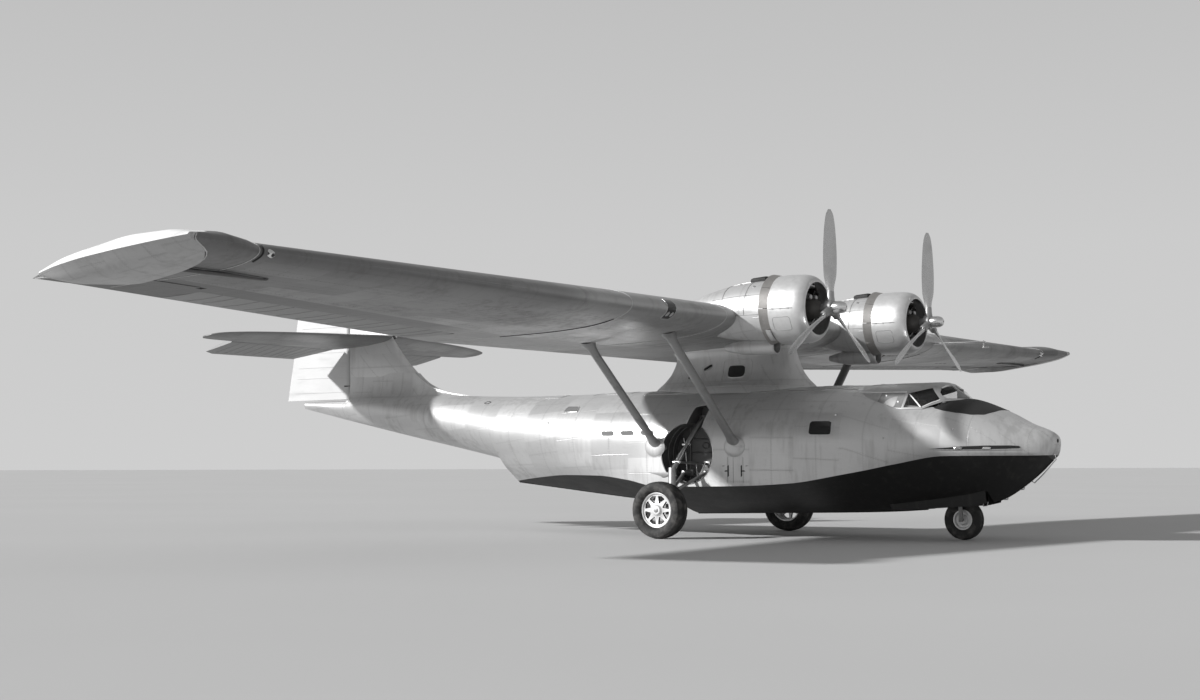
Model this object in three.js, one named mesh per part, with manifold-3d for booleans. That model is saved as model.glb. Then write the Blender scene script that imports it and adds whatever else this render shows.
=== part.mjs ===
// Twin-engined high-wing amphibian flying boat, standing on its wheels.
// Millimetres. +X is the nose, +Y is port, +Z is up. Stations are measured from the main axle,
// and the outer group then centres the whole aircraft over the origin on the ground.

import * as THREE from 'three';
import { mergeVertices } from 'three/addons/utils/BufferGeometryUtils.js';
import Module from 'manifold-3d';

const wasm = await Module();
wasm.setup();

// Driving dimensions

const LENGTH = 19470;
const NOSE_X = 7000;
const ORIGIN_X = NOSE_X - LENGTH / 2;
const GAP = 0.3;

const STEP_X = -700;
const AFT_STEP_X = -5345;
const BOW_FRAME_X = 3340;
const HULL_WALL = 45;

const WING = { centreHalf: 6100, tipY: 14900, camber: 0.02 };
const ENGINE = {
  y: 2110, z: 4300, cowlFront: 3250, cowlRear: 2535, flapRear: 2358, firewall: 2400, segments: 28,
};
const PROP = { radius: 1830, hubX: 3500, blades: 3 };
const MAIN_WHEEL = { y: 2530, radius: 550, width: 400, rim: 340, web: 72 };
const NOSE_WHEEL = { x: 5150, radius: 380, width: 230, rim: 190, web: 0 };
const WHEEL_WELL = { x: 0, z: 1640, radius: 600, innerY: 950 };
const COCKPIT = { xRear: 3950, xFront: 5000, halfWidth: 800, zFloor: 1800, zTop: 2700 };
const HOIST_PAD = { length: 360, width: 260, height: 14 };
const FIN_POST_X = -10340;
const RUDDER_HINGE_X = -10480;
const ELEVATOR_HINGE = { x: -10712, z: 4202 };
const FLOAT_HINGE = { y: 13350, x: -350 };

// Finishes

const finish = (color, roughness, metalness) => () =>
  new THREE.MeshStandardMaterial({ color, roughness, metalness });

const silverSkin = finish(0xb9bcbe, 0.42, 0.75);
const dopedFabric = finish(0xb2b4b6, 0.55, 0.35);
const darkSkin = finish(0x7d8082, 0.5, 0.7);
const blackBottom = finish(0x15161a, 0.6, 0.0);
const tyreRubber = finish(0x1b1b1b, 0.9, 0.0);
const castWheel = finish(0xd5d6d4, 0.35, 0.6);
const gearSteel = finish(0x8d9094, 0.4, 0.8);
const engineIron = finish(0x3a3b3d, 0.6, 0.6);
const propMetal = finish(0xa6a8aa, 0.25, 0.9);
const glazing = finish(0x9fb0b6, 0.08, 0.0);
const seatLeather = finish(0x3b2f28, 0.8, 0.0);

// Closed solids

/** Position-only geometry with shared vertices and no collapsed triangles. */
function weld(geometry) {
  const plain = geometry.clone();
  plain.deleteAttribute('normal');
  plain.deleteAttribute('uv');
  const merged = mergeVertices(plain, 1e-3);
  const index = merged.index.array;
  const kept = [];
  for (let i = 0; i < index.length; i += 3) {
    const [a, b, c] = [index[i], index[i + 1], index[i + 2]];
    if (a !== b && b !== c && c !== a) kept.push(a, b, c);
  }
  merged.setIndex(kept);
  return merged;
}

/** Turns a closed three.js geometry into a solid for cutting and joining. */
function solid(geometry) {
  const merged = weld(geometry);
  const positions = Float32Array.from(merged.attributes.position.array);
  const triangles = Uint32Array.from(merged.index.array);
  if (signedVolume(positions, triangles) < 0) {
    for (let i = 0; i < triangles.length; i += 3) {
      [triangles[i], triangles[i + 1]] = [triangles[i + 1], triangles[i]];
    }
  }
  return new wasm.Manifold(new wasm.Mesh({ numProp: 3, vertProperties: positions, triVerts: triangles }));
}

function signedVolume(positions, triangles) {
  const at = (i) => new THREE.Vector3().fromArray(positions, 3 * i);
  let sum = 0;
  for (let i = 0; i < triangles.length; i += 3) {
    sum += at(triangles[i]).dot(at(triangles[i + 1]).cross(at(triangles[i + 2])));
  }
  return sum / 6;
}

/** Turns a cut or joined solid back into a geometry with flat faces. */
function surface(manifold) {
  const mesh = manifold.getMesh();
  const geometry = new THREE.BufferGeometry();
  geometry.setAttribute('position', new THREE.BufferAttribute(mesh.vertProperties, 3));
  geometry.setIndex(new THREE.BufferAttribute(mesh.triVerts, 1));
  const faceted = geometry.toNonIndexed();
  faceted.computeVertexNormals();
  return faceted;
}

/** Joins rings of equal point count into a skin with a flat cap at each end. */
function loft(rings) {
  const count = rings[0].length;
  const positions = rings.flat().flatMap((p) => p.toArray());
  const index = [];
  for (let r = 0; r < rings.length - 1; r += 1) {
    for (let i = 0; i < count; i += 1) {
      const a = r * count + i;
      const b = r * count + (i + 1) % count;
      index.push(a, b, b + count, a, b + count, a + count);
    }
  }
  const last = (rings.length - 1) * count;
  for (const [a, b, c] of capTriangles(rings[0])) index.push(a, c, b);
  for (const [a, b, c] of capTriangles(rings[rings.length - 1])) index.push(last + a, last + b, last + c);
  const geometry = new THREE.BufferGeometry();
  geometry.setAttribute('position', new THREE.Float32BufferAttribute(positions, 3));
  geometry.setIndex(index);
  return geometry;
}

/** Triangles over one ring, in the ring's own winding. */
function capTriangles(ring) {
  const normal = new THREE.Vector3();
  ring.forEach((p, i) => normal.add(p.clone().cross(ring[(i + 1) % ring.length])));
  const axes = ['x', 'y', 'z'].sort((a, b) => Math.abs(normal[a]) - Math.abs(normal[b]));
  const contour = ring.map((p) => new THREE.Vector2(p[axes[0]], p[axes[1]]));
  const triangles = THREE.ShapeUtils.triangulateShape(contour, []);
  const isStep = ([i, j]) => j === (i + 1) % ring.length;
  const follows = ([a, b, c]) => [[a, b], [b, c], [c, a]].filter(isStep).length;
  const forward = triangles.reduce((sum, t) => sum + follows(t), 0);
  const backward = triangles.reduce((sum, [a, b, c]) => sum + follows([c, b, a]), 0);
  return forward >= backward ? triangles : triangles.map(([a, b, c]) => [c, b, a]);
}

const v3 = (x, y, z) => new THREE.Vector3(x, y, z);
const alongX = v3(1, 0, 0);
const alongY = v3(0, 1, 0);

function box(x0, x1, y0, y1, z0, z1) {
  const geometry = new THREE.BoxGeometry(x1 - x0, y1 - y0, z1 - z0);
  return geometry.translate((x0 + x1) / 2, (y0 + y1) / 2, (z0 + z1) / 2);
}

/** Straight round bar between two points. */
function bar(from, to, radius, segments = 12, endRadius = radius) {
  const length = from.distanceTo(to);
  const geometry = new THREE.CylinderGeometry(endRadius, radius, length, segments);
  const turn = new THREE.Quaternion().setFromUnitVectors(v3(0, 1, 0), to.clone().sub(from).normalize());
  return geometry.applyQuaternion(turn).translate(...from.clone().add(to).multiplyScalar(0.5).toArray());
}

/** Turned part about an axis through a point: the profile is a list of [distance along, radius]. */
function turned(profile, axis, at, segments) {
  const points = profile.map(([along, radius]) => new THREE.Vector2(radius, along));
  const geometry = new THREE.LatheGeometry(points, segments);
  const turn = new THREE.Quaternion().setFromUnitVectors(v3(0, 1, 0), axis);
  return geometry.applyQuaternion(turn).translate(at.x, at.y, at.z);
}

/** Prism of a polygon given as [x, z] pairs, between two values of y. */
function sidePrism(outline, y0, y1) {
  return loft([y0, y1].map((y) => outline.map(([x, z]) => v3(x, y, z))));
}

/** Prism of a polygon given as [y, z] pairs, between two values of x. */
function endPrism(outline, x0, x1) {
  return loft([x0, x1].map((x) => outline.map(([y, z]) => v3(x, y, z))));
}

const join = (parts) => parts.slice(1).reduce((sum, part) => sum.add(part), parts[0]);

/** Mirrors a solid across the centre plane. */
const mirrored = (manifold) => manifold.mirror([0, 1, 0]);

/** Solid from the rings of its port half, so that both sides match facet for facet. */
function bothSides(rings) {
  const port = solid(loft(rings));
  return port.add(mirrored(port));
}

const interpolate = (table, key, x, name) => {
  const rows = [...table].sort((a, b) => a[key] - b[key]);
  const after = rows.findIndex((row) => row[key] >= x);
  if (after <= 0) return after === 0 ? rows[0][name] : rows[rows.length - 1][name];
  const [low, high] = [rows[after - 1], rows[after]];
  return low[name] + (high[name] - low[name]) * (x - low[key]) / (high[key] - low[key]);
};

const rows = (names, ...values) =>
  values.map((line) => Object.fromEntries(names.map((name, i) => [name, line[i]])));

// Hull

// Frames of the hull above the chine: the chine corner, the bilge, the widest point and the crown.
const HULL = rows(
  ['x', 'zChine', 'yChine', 'zBilge', 'yBilge', 'zWaist', 'yWaist', 'zCrown'],
  [7000, 1745, 110, 1770, 140, 1840, 155, 1915],
  [6970, 1690, 180, 1720, 215, 1800, 235, 1950],
  [6905, 1575, 285, 1620, 325, 1738, 345, 2000],
  [6500, 1570, 600, 1630, 640, 1740, 665, 2165],
  [6000, 1570, 880, 1640, 920, 1760, 945, 2415],
  [5300, 1565, 1150, 1640, 1180, 1780, 1200, 2640],
  [4400, 1420, 1350, 1560, 1375, 1800, 1390, 2680],
  [3850, 1310, 1435, 1500, 1455, 1830, 1465, 2800],
  [3340, 1220, 1480, 1450, 1495, 1850, 1505, 2945],
  [2300, 1060, 1535, 1400, 1545, 1850, 1550, 2955],
  [1000, 1000, 1550, 1400, 1555, 1850, 1558, 2960],
  [-700, 985, 1530, 1300, 1555, 1860, 1558, 2960],
  [-1500, 1120, 1460, 1350, 1500, 1900, 1540, 2955],
  [-2300, 1200, 1300, 1400, 1420, 1950, 1500, 2950],
  [-3300, 1210, 1000, 1420, 1220, 2020, 1400, 2930],
  [-4300, 1160, 620, 1440, 940, 2080, 1250, 2920],
  [-5345, 1080, 60, 1460, 600, 2140, 1080, 2930],
);

const TAIL = rows(
  ['x', 'zChine', 'yChine', 'zBilge', 'yBilge', 'zWaist', 'yWaist', 'zCrown'],
  [-5345.4, 1490, 160, 1590, 600, 2140, 1080, 2930],
  [-6300, 1680, 120, 1790, 440, 2320, 880, 2960],
  [-7100, 1835, 90, 1950, 350, 2430, 730, 3000],
  [-8500, 2100, 60, 2200, 240, 2620, 500, 3060],
  [-10340, 2470, 40, 2550, 140, 2800, 270, 3080],
  [-10360, 2474, 40, 2554, 138, 2800, 266, 2960],
  [-11500, 2710, 20, 2750, 60, 2850, 120, 2950],
  [-11890, 2790, 8, 2810, 20, 2870, 45, 2940],
);

// Keel height of the two planing bottoms.
const KEEL_FORE = rows(
  ['x', 'z'],
  [6905, 1490], [6700, 1290], [6500, 1125], [6250, 945], [6000, 800], [5700, 695], [5300, 632],
  [4400, 565], [3850, 530], [3340, 510], [2300, 485], [1000, 462], [-700, 430],
);
const KEEL_AFT = rows(
  ['x', 'z'],
  [-700, 575], [-1500, 655], [-2300, 732], [-3300, 835], [-4300, 942], [-5345, 1052],
);

const CROWN_STEPS = 6;

/** Port half of one frame of the hull above the chine; grow widens it all round. */
function hullRing(frame, grow = 0) {
  const half = [
    [frame.yChine + grow, frame.zChine],
    [frame.yBilge + grow, frame.zBilge],
  ];
  for (let i = 0; i < CROWN_STEPS; i += 1) {
    const angle = (Math.PI / 2) * (i / CROWN_STEPS);
    const height = frame.zCrown + grow - frame.zWaist;
    half.push([(frame.yWaist + grow) * Math.cos(angle), frame.zWaist + height * Math.sin(angle)]);
  }
  const ring = half.map(([y, z]) => v3(frame.x, y, z));
  return [v3(frame.x, 0, frame.zChine), ...ring, v3(frame.x, 0, frame.zCrown + grow)];
}

const hullSolid = (frames, grow = 0) => bothSides(frames.map((frame) => hullRing(frame, grow)));

const framesBetween = (x0, x1) => HULL.filter((frame) => frame.x <= x0 && frame.x >= x1);

/** Hollows a hull section: the inside follows its frames at a wall's distance and is open in front. */
function hollowed(section, frames, wall) {
  const inside = frames.map((frame, i) => ({
    x: i === 0 ? frame.x + 10 : frame.x,
    zChine: frame.zChine + wall,
    yChine: Math.max(frame.yChine - wall, 4),
    zBilge: frame.zBilge + wall * 0.5,
    yBilge: Math.max(frame.yBilge - wall, 6),
    zWaist: frame.zWaist,
    yWaist: Math.max(frame.yWaist - wall, 8),
    zCrown: frame.zCrown - wall,
  }));
  return section.subtract(hullSolid(inside));
}

/** Vee-shaped planing bottom hung under the chine line, with a slight hollow in each side. */
function planingBottom(keel) {
  const rings = keel.map(({ x, z }) => {
    const y = interpolate(HULL, 'x', x, 'yChine');
    const top = interpolate(HULL, 'x', x, 'zChine') - GAP;
    const mid = z + (top - z) * 0.42;
    return [v3(x, 0, z), v3(x, y * 0.5, mid), v3(x, y, top), v3(x, -y, top), v3(x, -y * 0.5, mid)];
  });
  return solid(loft(rings));
}

// Cockpit canopy and what is inside it

const CANOPY = rows(
  ['x', 'zSill', 'ySill', 'zRail', 'yRail', 'zCrown'],
  [3345, 2640, 960, 2790, 760, 2955],
  [3900, 2500, 975, 2775, 745, 2965],
  [4340, 2445, 965, 2775, 720, 2965],
  [4740, 2440, 900, 2850, 640, 2968],
  [4880, 2500, 830, 2870, 560, 2955],
  [5060, 2575, 660, 2790, 420, 2830],
  [5290, 2620, 260, 2660, 160, 2668],
);

/** Port half of one canopy ring, pushed in by inset and carried down to zFoot below the sill. */
function canopyRing(row, inset, zFoot) {
  const half = [
    [0, zFoot],
    [row.ySill - inset, zFoot],
    [row.ySill - inset, row.zSill + 1],
    [row.yRail - inset, row.zRail - inset * 0.6],
    [row.yRail * 0.55, row.zRail + (row.zCrown - row.zRail) * 0.75 - inset],
    [0, row.zCrown - inset],
  ];
  return half.map(([y, z]) => v3(row.x, y, z));
}

/** Canopy shape over some of its rings; the foot is a height or follows the sill. */
const canopySolid = (table, inset, foot = (row) => row.zSill) =>
  bothSides(table.map((row) => canopyRing(row, inset, foot(row))));

// Window outlines: the side window as [x, z] pairs, half of the windscreen as [y, z] pairs.
const SIDE_WINDOW = [[4395, 2738], [4385, 2478], [4720, 2470], [4990, 2610], [4830, 2835]];
const SCREEN_HALF = [[35, 2640], [560, 2640], [560, 2880], [35, 2920]];
const PANE = { outside: 8, inside: 16 };

/** The same outline drawn in by a distance from its middle. */
function drawnIn(outline, distance) {
  const middle = [0, 1].map((k) => outline.reduce((sum, p) => sum + p[k], 0) / outline.length);
  return outline.map(([a, b]) => {
    const [da, db] = [a - middle[0], b - middle[1]];
    const scale = 1 - distance / Math.hypot(da, db);
    return [middle[0] + da * scale, middle[1] + db * scale];
  });
}

/** Frame with its window openings, and the thin panes that fill them on the port side. */
function canopyParts() {
  const deep = () => 2300;
  const shell = canopySolid(CANOPY, 0).subtract(canopySolid(CANOPY.slice(1, 6), 26, deep));
  const side = (y0, y1, distance) => solid(sidePrism(drawnIn(SIDE_WINDOW, distance), y0, y1));
  const screen = (distance) => solid(endPrism(drawnIn(SCREEN_HALF, distance), 4950, 5400));
  const frame = shell.subtract(side(-1200, 1200, 0)).subtract(screen(0)).subtract(mirrored(screen(0)));
  const skin = canopySolid(CANOPY, PANE.outside, deep).subtract(canopySolid(CANOPY, PANE.inside, deep));
  const sideGlass = skin.intersect(side(300, 1200, 4 * GAP));
  const screenGlass = skin.intersect(screen(4 * GAP));
  return { frame, sideGlass, screenGlass };
}

function seatSolid(y) {
  const { zFloor } = COCKPIT;
  const side = [[4120, 380], [4180, 380], [4180, 330], [4560, 350], [4560, 420], [4210, 400], [4120, 900],
    [4050, 890]].map(([x, z]) => [x, zFloor + z - 30]);
  const shell = solid(sidePrism(side, y - 230, y + 230));
  const post = solid(box(4230, 4430, y - 110, y + 110, zFloor + GAP, zFloor + 330));
  return shell.add(post);
}

/** Instrument panel across the front of the cockpit. */
const panelSolid = () => solid(box(COCKPIT.xFront - 70, COCKPIT.xFront - GAP, -620, 620, 2080, 2520));

/** Control yoke: two posts on the floor, a cross tube, and a hand wheel for each pilot. */
function yokeSolid() {
  const { zFloor } = COCKPIT;
  const parts = [solid(bar(v3(4740, -660, 2240), v3(4740, 660, 2240), 24, 8))];
  for (const side of [-1, 1]) {
    parts.push(solid(bar(v3(4740, side * 640, zFloor + GAP), v3(4740, side * 640, 2240), 24, 8)));
    parts.push(solid(bar(v3(4740, side * 400, 2240), v3(4640, side * 400, 2250), 20, 8)));
    const rim = [[-12, 128], [-12, 152], [12, 152], [12, 128], [-12, 128]];
    parts.push(solid(turned(rim, alongX, v3(4650, side * 400, 2250), 12)));
    parts.push(solid(box(4640, 4662, side * 400 - 140, side * 400 + 140, 2238, 2262)));
  }
  return join(parts);
}

// Aerofoils

const CHORD_STEPS = [1, 0.84, 0.66, 0.48, 0.32, 0.19, 0.1, 0.045, 0.012];

const halfThickness = (f, ratio) =>
  5 * ratio * (0.2969 * Math.sqrt(f) - 0.126 * f - 0.3516 * f ** 2 + 0.2843 * f ** 3 - 0.1015 * f ** 4);

/** Aerofoil outline as [distance aft, height] pairs, upper side first from the trailing edge. */
function aerofoil(chord, ratio, camber, grow = 0) {
  const line = (f) => 4 * camber * f * (1 - f) * chord;
  const depth = (f) => Math.max(halfThickness(f, ratio) * chord, 3) + grow;
  const upper = CHORD_STEPS.map((f) => [f * chord + (f === 1 ? grow : 0), line(f) + depth(f)]);
  const lower = [...CHORD_STEPS].reverse().map((f) => [f * chord + (f === 1 ? grow : 0), line(f) - depth(f)]);
  return [...upper, [-grow, 0], ...lower];
}

// Half of the wing: leading and trailing edge places and thickness ratio.
const WING_HALF = rows(
  ['y', 'xLead', 'zLead', 'xTrail', 'zTrail', 'ratio'],
  [0, 1800, 4200, -2730, 3712, 0.15],
  [6100, 1800, 4200, -2730, 3712, 0.15],
  [14250, 1160, 4362, -2110, 4025, 0.122],
  [14450, 1215, 4380, -2095, 4033, 0.132],
  [14900, 1330, 4400, -2060, 4050, 0.134],
);

function wingAt(y) {
  const row = { y };
  for (const name of ['xLead', 'zLead', 'xTrail', 'zTrail', 'ratio']) {
    row[name] = interpolate(WING_HALF, 'y', Math.abs(y), name);
  }
  row.chord = Math.hypot(row.xLead - row.xTrail, row.zLead - row.zTrail);
  row.angle = Math.atan2(row.zLead - row.zTrail, row.xLead - row.xTrail);
  return row;
}

/** Point on or off the chord line of the wing at y: fraction of chord aft, and height above it. */
function wingPoint(y, fraction, height = 0) {
  const row = wingAt(y);
  const aft = fraction * row.chord;
  const x = row.xLead - aft * Math.cos(row.angle) - height * Math.sin(row.angle);
  const z = row.zLead - aft * Math.sin(row.angle) + height * Math.cos(row.angle);
  return v3(x, y, z);
}

function wingRing(y, grow = 0) {
  const row = wingAt(y);
  const outline = aerofoil(row.chord, row.ratio, WING.camber, grow);
  return outline.map(([aft, height]) => wingPoint(y, aft / row.chord, height));
}

const wingSolid = (stations, grow = 0) => solid(loft(stations.map((y) => wingRing(y, grow))));

/** Height of the wing's lower skin above its chord line, a negative number. */
function lowerSkin(y, fraction) {
  const row = wingAt(y);
  const line = 4 * WING.camber * fraction * (1 - fraction) * row.chord;
  return line - halfThickness(fraction, row.ratio) * row.chord;
}

// Hinged surfaces

/** Placement of a hinge line: local Y runs along it and local X points forward. */
function hingeFrame(from, to) {
  const along = to.clone().sub(from).normalize();
  const up = along.clone().cross(v3(-1, 0, 0)).cross(along).cross(along).negate().normalize();
  const forward = along.clone().cross(up).normalize();
  return new THREE.Matrix4().makeBasis(forward, along, up).setPosition(from);
}

const HINGE = { plate: 24, reach: 30, slot: 46 };

/** Hinge plate on the fixed side: a strip that ends in a round eye on the hinge line. */
function hingePlate(frame, along, forward) {
  const half = HINGE.plate / 2;
  const strip = solid(box(0, forward, along - half, along + half, -HINGE.reach * 0.8, HINGE.reach * 0.8));
  const eye = solid(bar(v3(0, along - half, 0), v3(0, along + half, 0), HINGE.reach, 16));
  return strip.add(eye).transform(frame.elements);
}

/** Slot in the nose of the moving side that takes one hinge plate. */
function hingeSlot(frame, along, forward, depth) {
  const half = HINGE.plate / 2 + GAP;
  const cut = solid(box(-HINGE.slot, forward, along - half, along + half, -depth, depth));
  return cut.transform(frame.elements);
}

/** Section of a hinged surface: a round nose about the hinge line, tapering to the trailing edge. */
function surfaceSection(noseRadius, chord) {
  const outline = [[-chord, -5], [-chord, 5], [-chord * 0.45, noseRadius * 0.66]];
  for (let i = 0; i <= 6; i += 1) {
    const angle = Math.PI / 2 - Math.PI * (i / 6);
    outline.push([noseRadius * Math.cos(angle), noseRadius * Math.sin(angle)]);
  }
  outline.push([-chord * 0.45, -noseRadius * 0.66]);
  return outline;
}

const AILERON = { y0: 6900, y1: 13100, hinge: 0.745, clear: 14 };

function aileronEnds(side) {
  return [AILERON.y0, AILERON.y1].map((y) => {
    const place = wingPoint(y * side, AILERON.hinge, 0.02 * wingAt(y).chord * 0.76);
    const row = wingAt(y);
    return { place, row, nose: halfThickness(AILERON.hinge, row.ratio) * row.chord - 6 };
  });
}

/** Bay cut into the wing for the aileron: open at the trailing edge. */
function aileronBay() {
  const rings = [AILERON.y0, AILERON.y1].map((y, i) => {
    const end = aileronEnds(1)[i];
    const front = end.place.x + end.nose + AILERON.clear;
    const back = end.row.xTrail - 400;
    return [v3(front, y, end.place.z - 600), v3(front, y, end.place.z + 600),
      v3(back, y, end.place.z + 600), v3(back, y, end.place.z - 600)];
  });
  return solid(loft(rings));
}

function aileronSolid() {
  const rings = aileronEnds(1).map(({ place, row, nose }, i) => {
    const y = i === 0 ? AILERON.y0 + 12 : AILERON.y1 - 12;
    const chord = (1 - AILERON.hinge) * row.chord;
    const [c, s] = [Math.cos(row.angle), Math.sin(row.angle)];
    return surfaceSection(nose, chord).map(([fore, up]) =>
      v3(place.x + fore * c - up * s, y, place.z + fore * s + up * c));
  });
  return solid(loft(rings));
}

// Wing group

/** Flat pad on top of the centre section that takes the hoisting sling. */
function hoistPad() {
  const [fore, aft] = [CHORD_STEPS[4], CHORD_STEPS[3]].map((f) => {
    const row = wingAt(0);
    const top = 4 * WING.camber * f * (1 - f) * row.chord + halfThickness(f, row.ratio) * row.chord;
    return wingPoint(0, f, top);
  });
  const middle = fore.clone().add(aft).multiplyScalar(0.5);
  const forward = fore.clone().sub(aft).normalize();
  const up = forward.clone().cross(alongY);
  const { length, width, height } = HOIST_PAD;
  const plate = solid(box(-length / 2, length / 2, -width / 2, width / 2, -40, height));
  return plate.transform(new THREE.Matrix4().makeBasis(forward, alongY, up).setPosition(middle).elements);
}

function wingParts() {
  const centre = wingSolid([-WING.centreHalf, WING.centreHalf]).add(hoistPad());
  const [inner, outer] = aileronEnds(1);
  const frame = hingeFrame(inner.place, outer.place);
  const span = inner.place.distanceTo(outer.place);
  const plates = [0.12, 0.5, 0.88].map((f) => f * span);
  const forward = inner.nose + AILERON.clear + 60;
  const stations = [WING.centreHalf + GAP, 14250, 14450, WING.tipY];
  let panel = wingSolid(stations).subtract(aileronBay());
  let aileron = aileronSolid();
  for (const along of plates) {
    panel = panel.add(hingePlate(frame, along, forward));
    aileron = aileron.subtract(hingeSlot(frame, along, forward, 400));
  }
  panel = panel.subtract(floatRecess());
  return { centre, panel, aileron };
}

// Wing-tip floats

// Float stowed as the wing tip: its deck faces inboard and its keel outboard.
const FLOAT_FRAMES = rows(
  ['x', 'yKeel', 'zKeel', 'zTop', 'zLow'],
  [1345, 15740, 4415, 4455, 4370],
  [1150, 15800, 4390, 4510, 4250],
  [700, 15840, 4350, 4585, 4120],
  [100, 15850, 4300, 4590, 4020],
  [-600, 15840, 4235, 4505, 3940],
  [-1250, 15780, 4165, 4350, 3950],
  [-1790, 15650, 4105, 4150, 4060],
);
const FLOAT_DECK_Y = WING.tipY + 25;

function floatSolid() {
  const rings = FLOAT_FRAMES.map(({ x, yKeel, zKeel, zTop, zLow }, i) => {
    const ends = i === 0 || i === FLOAT_FRAMES.length - 1;
    const deck = ends ? yKeel - 90 : FLOAT_DECK_Y + (i === 1 || i === 5 ? 330 : i === 2 || i === 4 ? 60 : 0);
    const bulge = deck + (yKeel - deck) * 0.62;
    return [
      v3(x, deck, zLow), v3(x, deck, zTop), v3(x, bulge, zTop - (zTop - zKeel) * 0.18),
      v3(x, yKeel, zKeel), v3(x, bulge, zLow + (zKeel - zLow) * 0.18),
    ];
  });
  return solid(loft(rings));
}

const FLOAT_ARM = { width: 90, slot: 120, x: [-1000, 300] };

/** Height of the float hinge line: just inside the lower skin of the outer wing. */
const floatHingeZ = () => {
  const point = wingPoint(FLOAT_HINGE.y, 0.45, lowerSkin(FLOAT_HINGE.y, 0.45));
  return point.z + 30;
};

function floatRecess() {
  const z = floatHingeZ();
  const half = FLOAT_ARM.slot / 2;
  const [inner, outer] = [FLOAT_HINGE.y - 60, WING.tipY + 50];
  return join(FLOAT_ARM.x.map((x) => solid(box(x - half, x + half, inner, outer, z - 400, z + 40))));
}

/** Two arms and a cross tube that carry the float from its hinge line. */
function floatFrame() {
  const z = floatHingeZ();
  const parts = FLOAT_ARM.x.map((x) => {
    const half = FLOAT_ARM.width / 2;
    return solid(box(x - half, x + half, FLOAT_HINGE.y, FLOAT_DECK_Y - GAP, z - 22, z + 22));
  });
  const pin = FLOAT_ARM.slot / 2 - GAP;
  FLOAT_ARM.x.forEach((x) => {
    parts.push(solid(bar(v3(x - pin, FLOAT_HINGE.y, z), v3(x + pin, FLOAT_HINGE.y, z), 24, 16)));
  });
  const [aft, fore] = FLOAT_ARM.x;
  parts.push(solid(box(aft - 45, fore + 45, FLOAT_DECK_Y - 22, FLOAT_DECK_Y - GAP, z - 22, z + 22)));
  return join(parts);
}

/** Pitot boom ahead of the port leading edge, with a short mast at its tip. */
function pitotBoom() {
  const y = 6050;
  return join([
    solid(bar(v3(1740, y, 4145), v3(3050, y, 4135), 26, 10, 20)),
    solid(bar(v3(3000, y, 4000), v3(3000, y, 4175), 14, 8)),
    solid(bar(v3(2980, y, 4012), v3(3120, y, 4012), 12, 8)),
  ]);
}

// Pylon, struts, nacelles

const PYLON = rows(
  ['z', 'xFront', 'xRear', 'halfWidth'],
  [2700, 2230, -1900, 790],
  [2955, 2060, -1730, 700],
  [3120, 1890, -1520, 560],
  [3320, 1750, -1330, 470],
  [3600, 1640, -1215, 440],
  [3780, 1600, -1330, 470],
  [3900, 1620, -1330, 480],
  [4060, 1480, -900, 470],
);

function leafRing(row, sides = 10) {
  const ring = [];
  for (let i = 0; i <= sides; i += 1) {
    const f = 1 - i / sides;
    ring.push([row.xRear + (row.xFront - row.xRear) * (1 - (1 - f) ** 1.6), Math.sin(Math.PI * f ** 0.75)]);
  }
  const port = ring.map(([x, w]) => v3(x, w * row.halfWidth, row.z));
  const starboard = ring.slice(1, -1).reverse().map(([x, w]) => v3(x, -w * row.halfWidth, row.z));
  return [...port, ...starboard];
}

const STRUTS = {
  front: { foot: [1075, 1500, 1800], top: [965, 3700, 3840] },
  rear: { foot: [-740, 1500, 1780], top: [-860, 3700, 3730] },
};

function strutSolid({ foot, top }) {
  const [a, b] = [v3(...foot), v3(...top)];
  const along = b.clone().sub(a).normalize();
  const start = a.clone().addScaledVector(along, -160);
  const end = b.clone().addScaledVector(along, 160);
  const length = start.distanceTo(end);
  const side = along.clone().cross(v3(1, 0, 0)).normalize();
  const stations = [[0, 2.2], [150, 1.9], [330, 1.15], [520, 1], [length - 520, 1], [length - 330, 1.15],
    [length - 160, 1.6], [length, 1.8]];
  const section = [[0.5, 0], [0.36, 0.36], [0.1, 0.5], [-0.2, 0.4], [-0.5, 0.06],
    [-0.5, -0.06], [-0.2, -0.4], [0.1, -0.5], [0.36, -0.36]];
  const rings = stations.map(([at, scale]) => section.map(([fore, out]) =>
    start.clone().addScaledVector(along, at).add(v3(fore * 210 * scale, 0, 0))
      .addScaledVector(side, out * 95 * scale)));
  return solid(loft(rings));
}

const NACELLE = rows(
  ['x', 'radius', 'z'],
  [2400, 588, 4300],
  [1950, 568, 4300],
  [1680, 545, 4300],
  [1350, 495, 4300],
  [1010, 420, 4300],
  [740, 352, 4290],
  [300, 245, 4240],
  [0, 150, 4150],
);

function nacelleSolid(y, grow = 0) {
  const sides = 20;
  const rings = NACELLE.map(({ x, radius, z }) => Array.from({ length: sides }, (_, i) => {
    const angle = (2 * Math.PI * (i + 0.5)) / sides;
    return v3(x, y + (radius + grow) * Math.cos(angle), z + (radius + grow) * Math.sin(angle));
  }));
  return solid(loft(rings));
}

function cowlRing(y) {
  const { cowlFront, cowlRear } = ENGINE;
  const profile = [[cowlRear, 600], [3020, 600], [3130, 572], [3200, 530], [3235, 490], [cowlFront, 500],
    [3238, 540], [3200, 578], [3130, 618], [3000, 642], [2800, 650], [cowlRear, 645], [cowlRear, 600]];
  return turnedHalfStep(profile, y);
}

function flapRing(y) {
  const { cowlRear, flapRear } = ENGINE;
  const front = cowlRear - GAP;
  const profile = [[front, 622], [front, 645], [2460, 660], [flapRear, 682], [flapRear - 4, 666],
    [2450, 644], [2515, 622], [front, 622]];
  const coolerGap = solid(box(2150, cowlRear + 50, y - 215, y + 215, ENGINE.z - 800, ENGINE.z - 300));
  return turnedHalfStep(profile, y).subtract(coolerGap);
}

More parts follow.
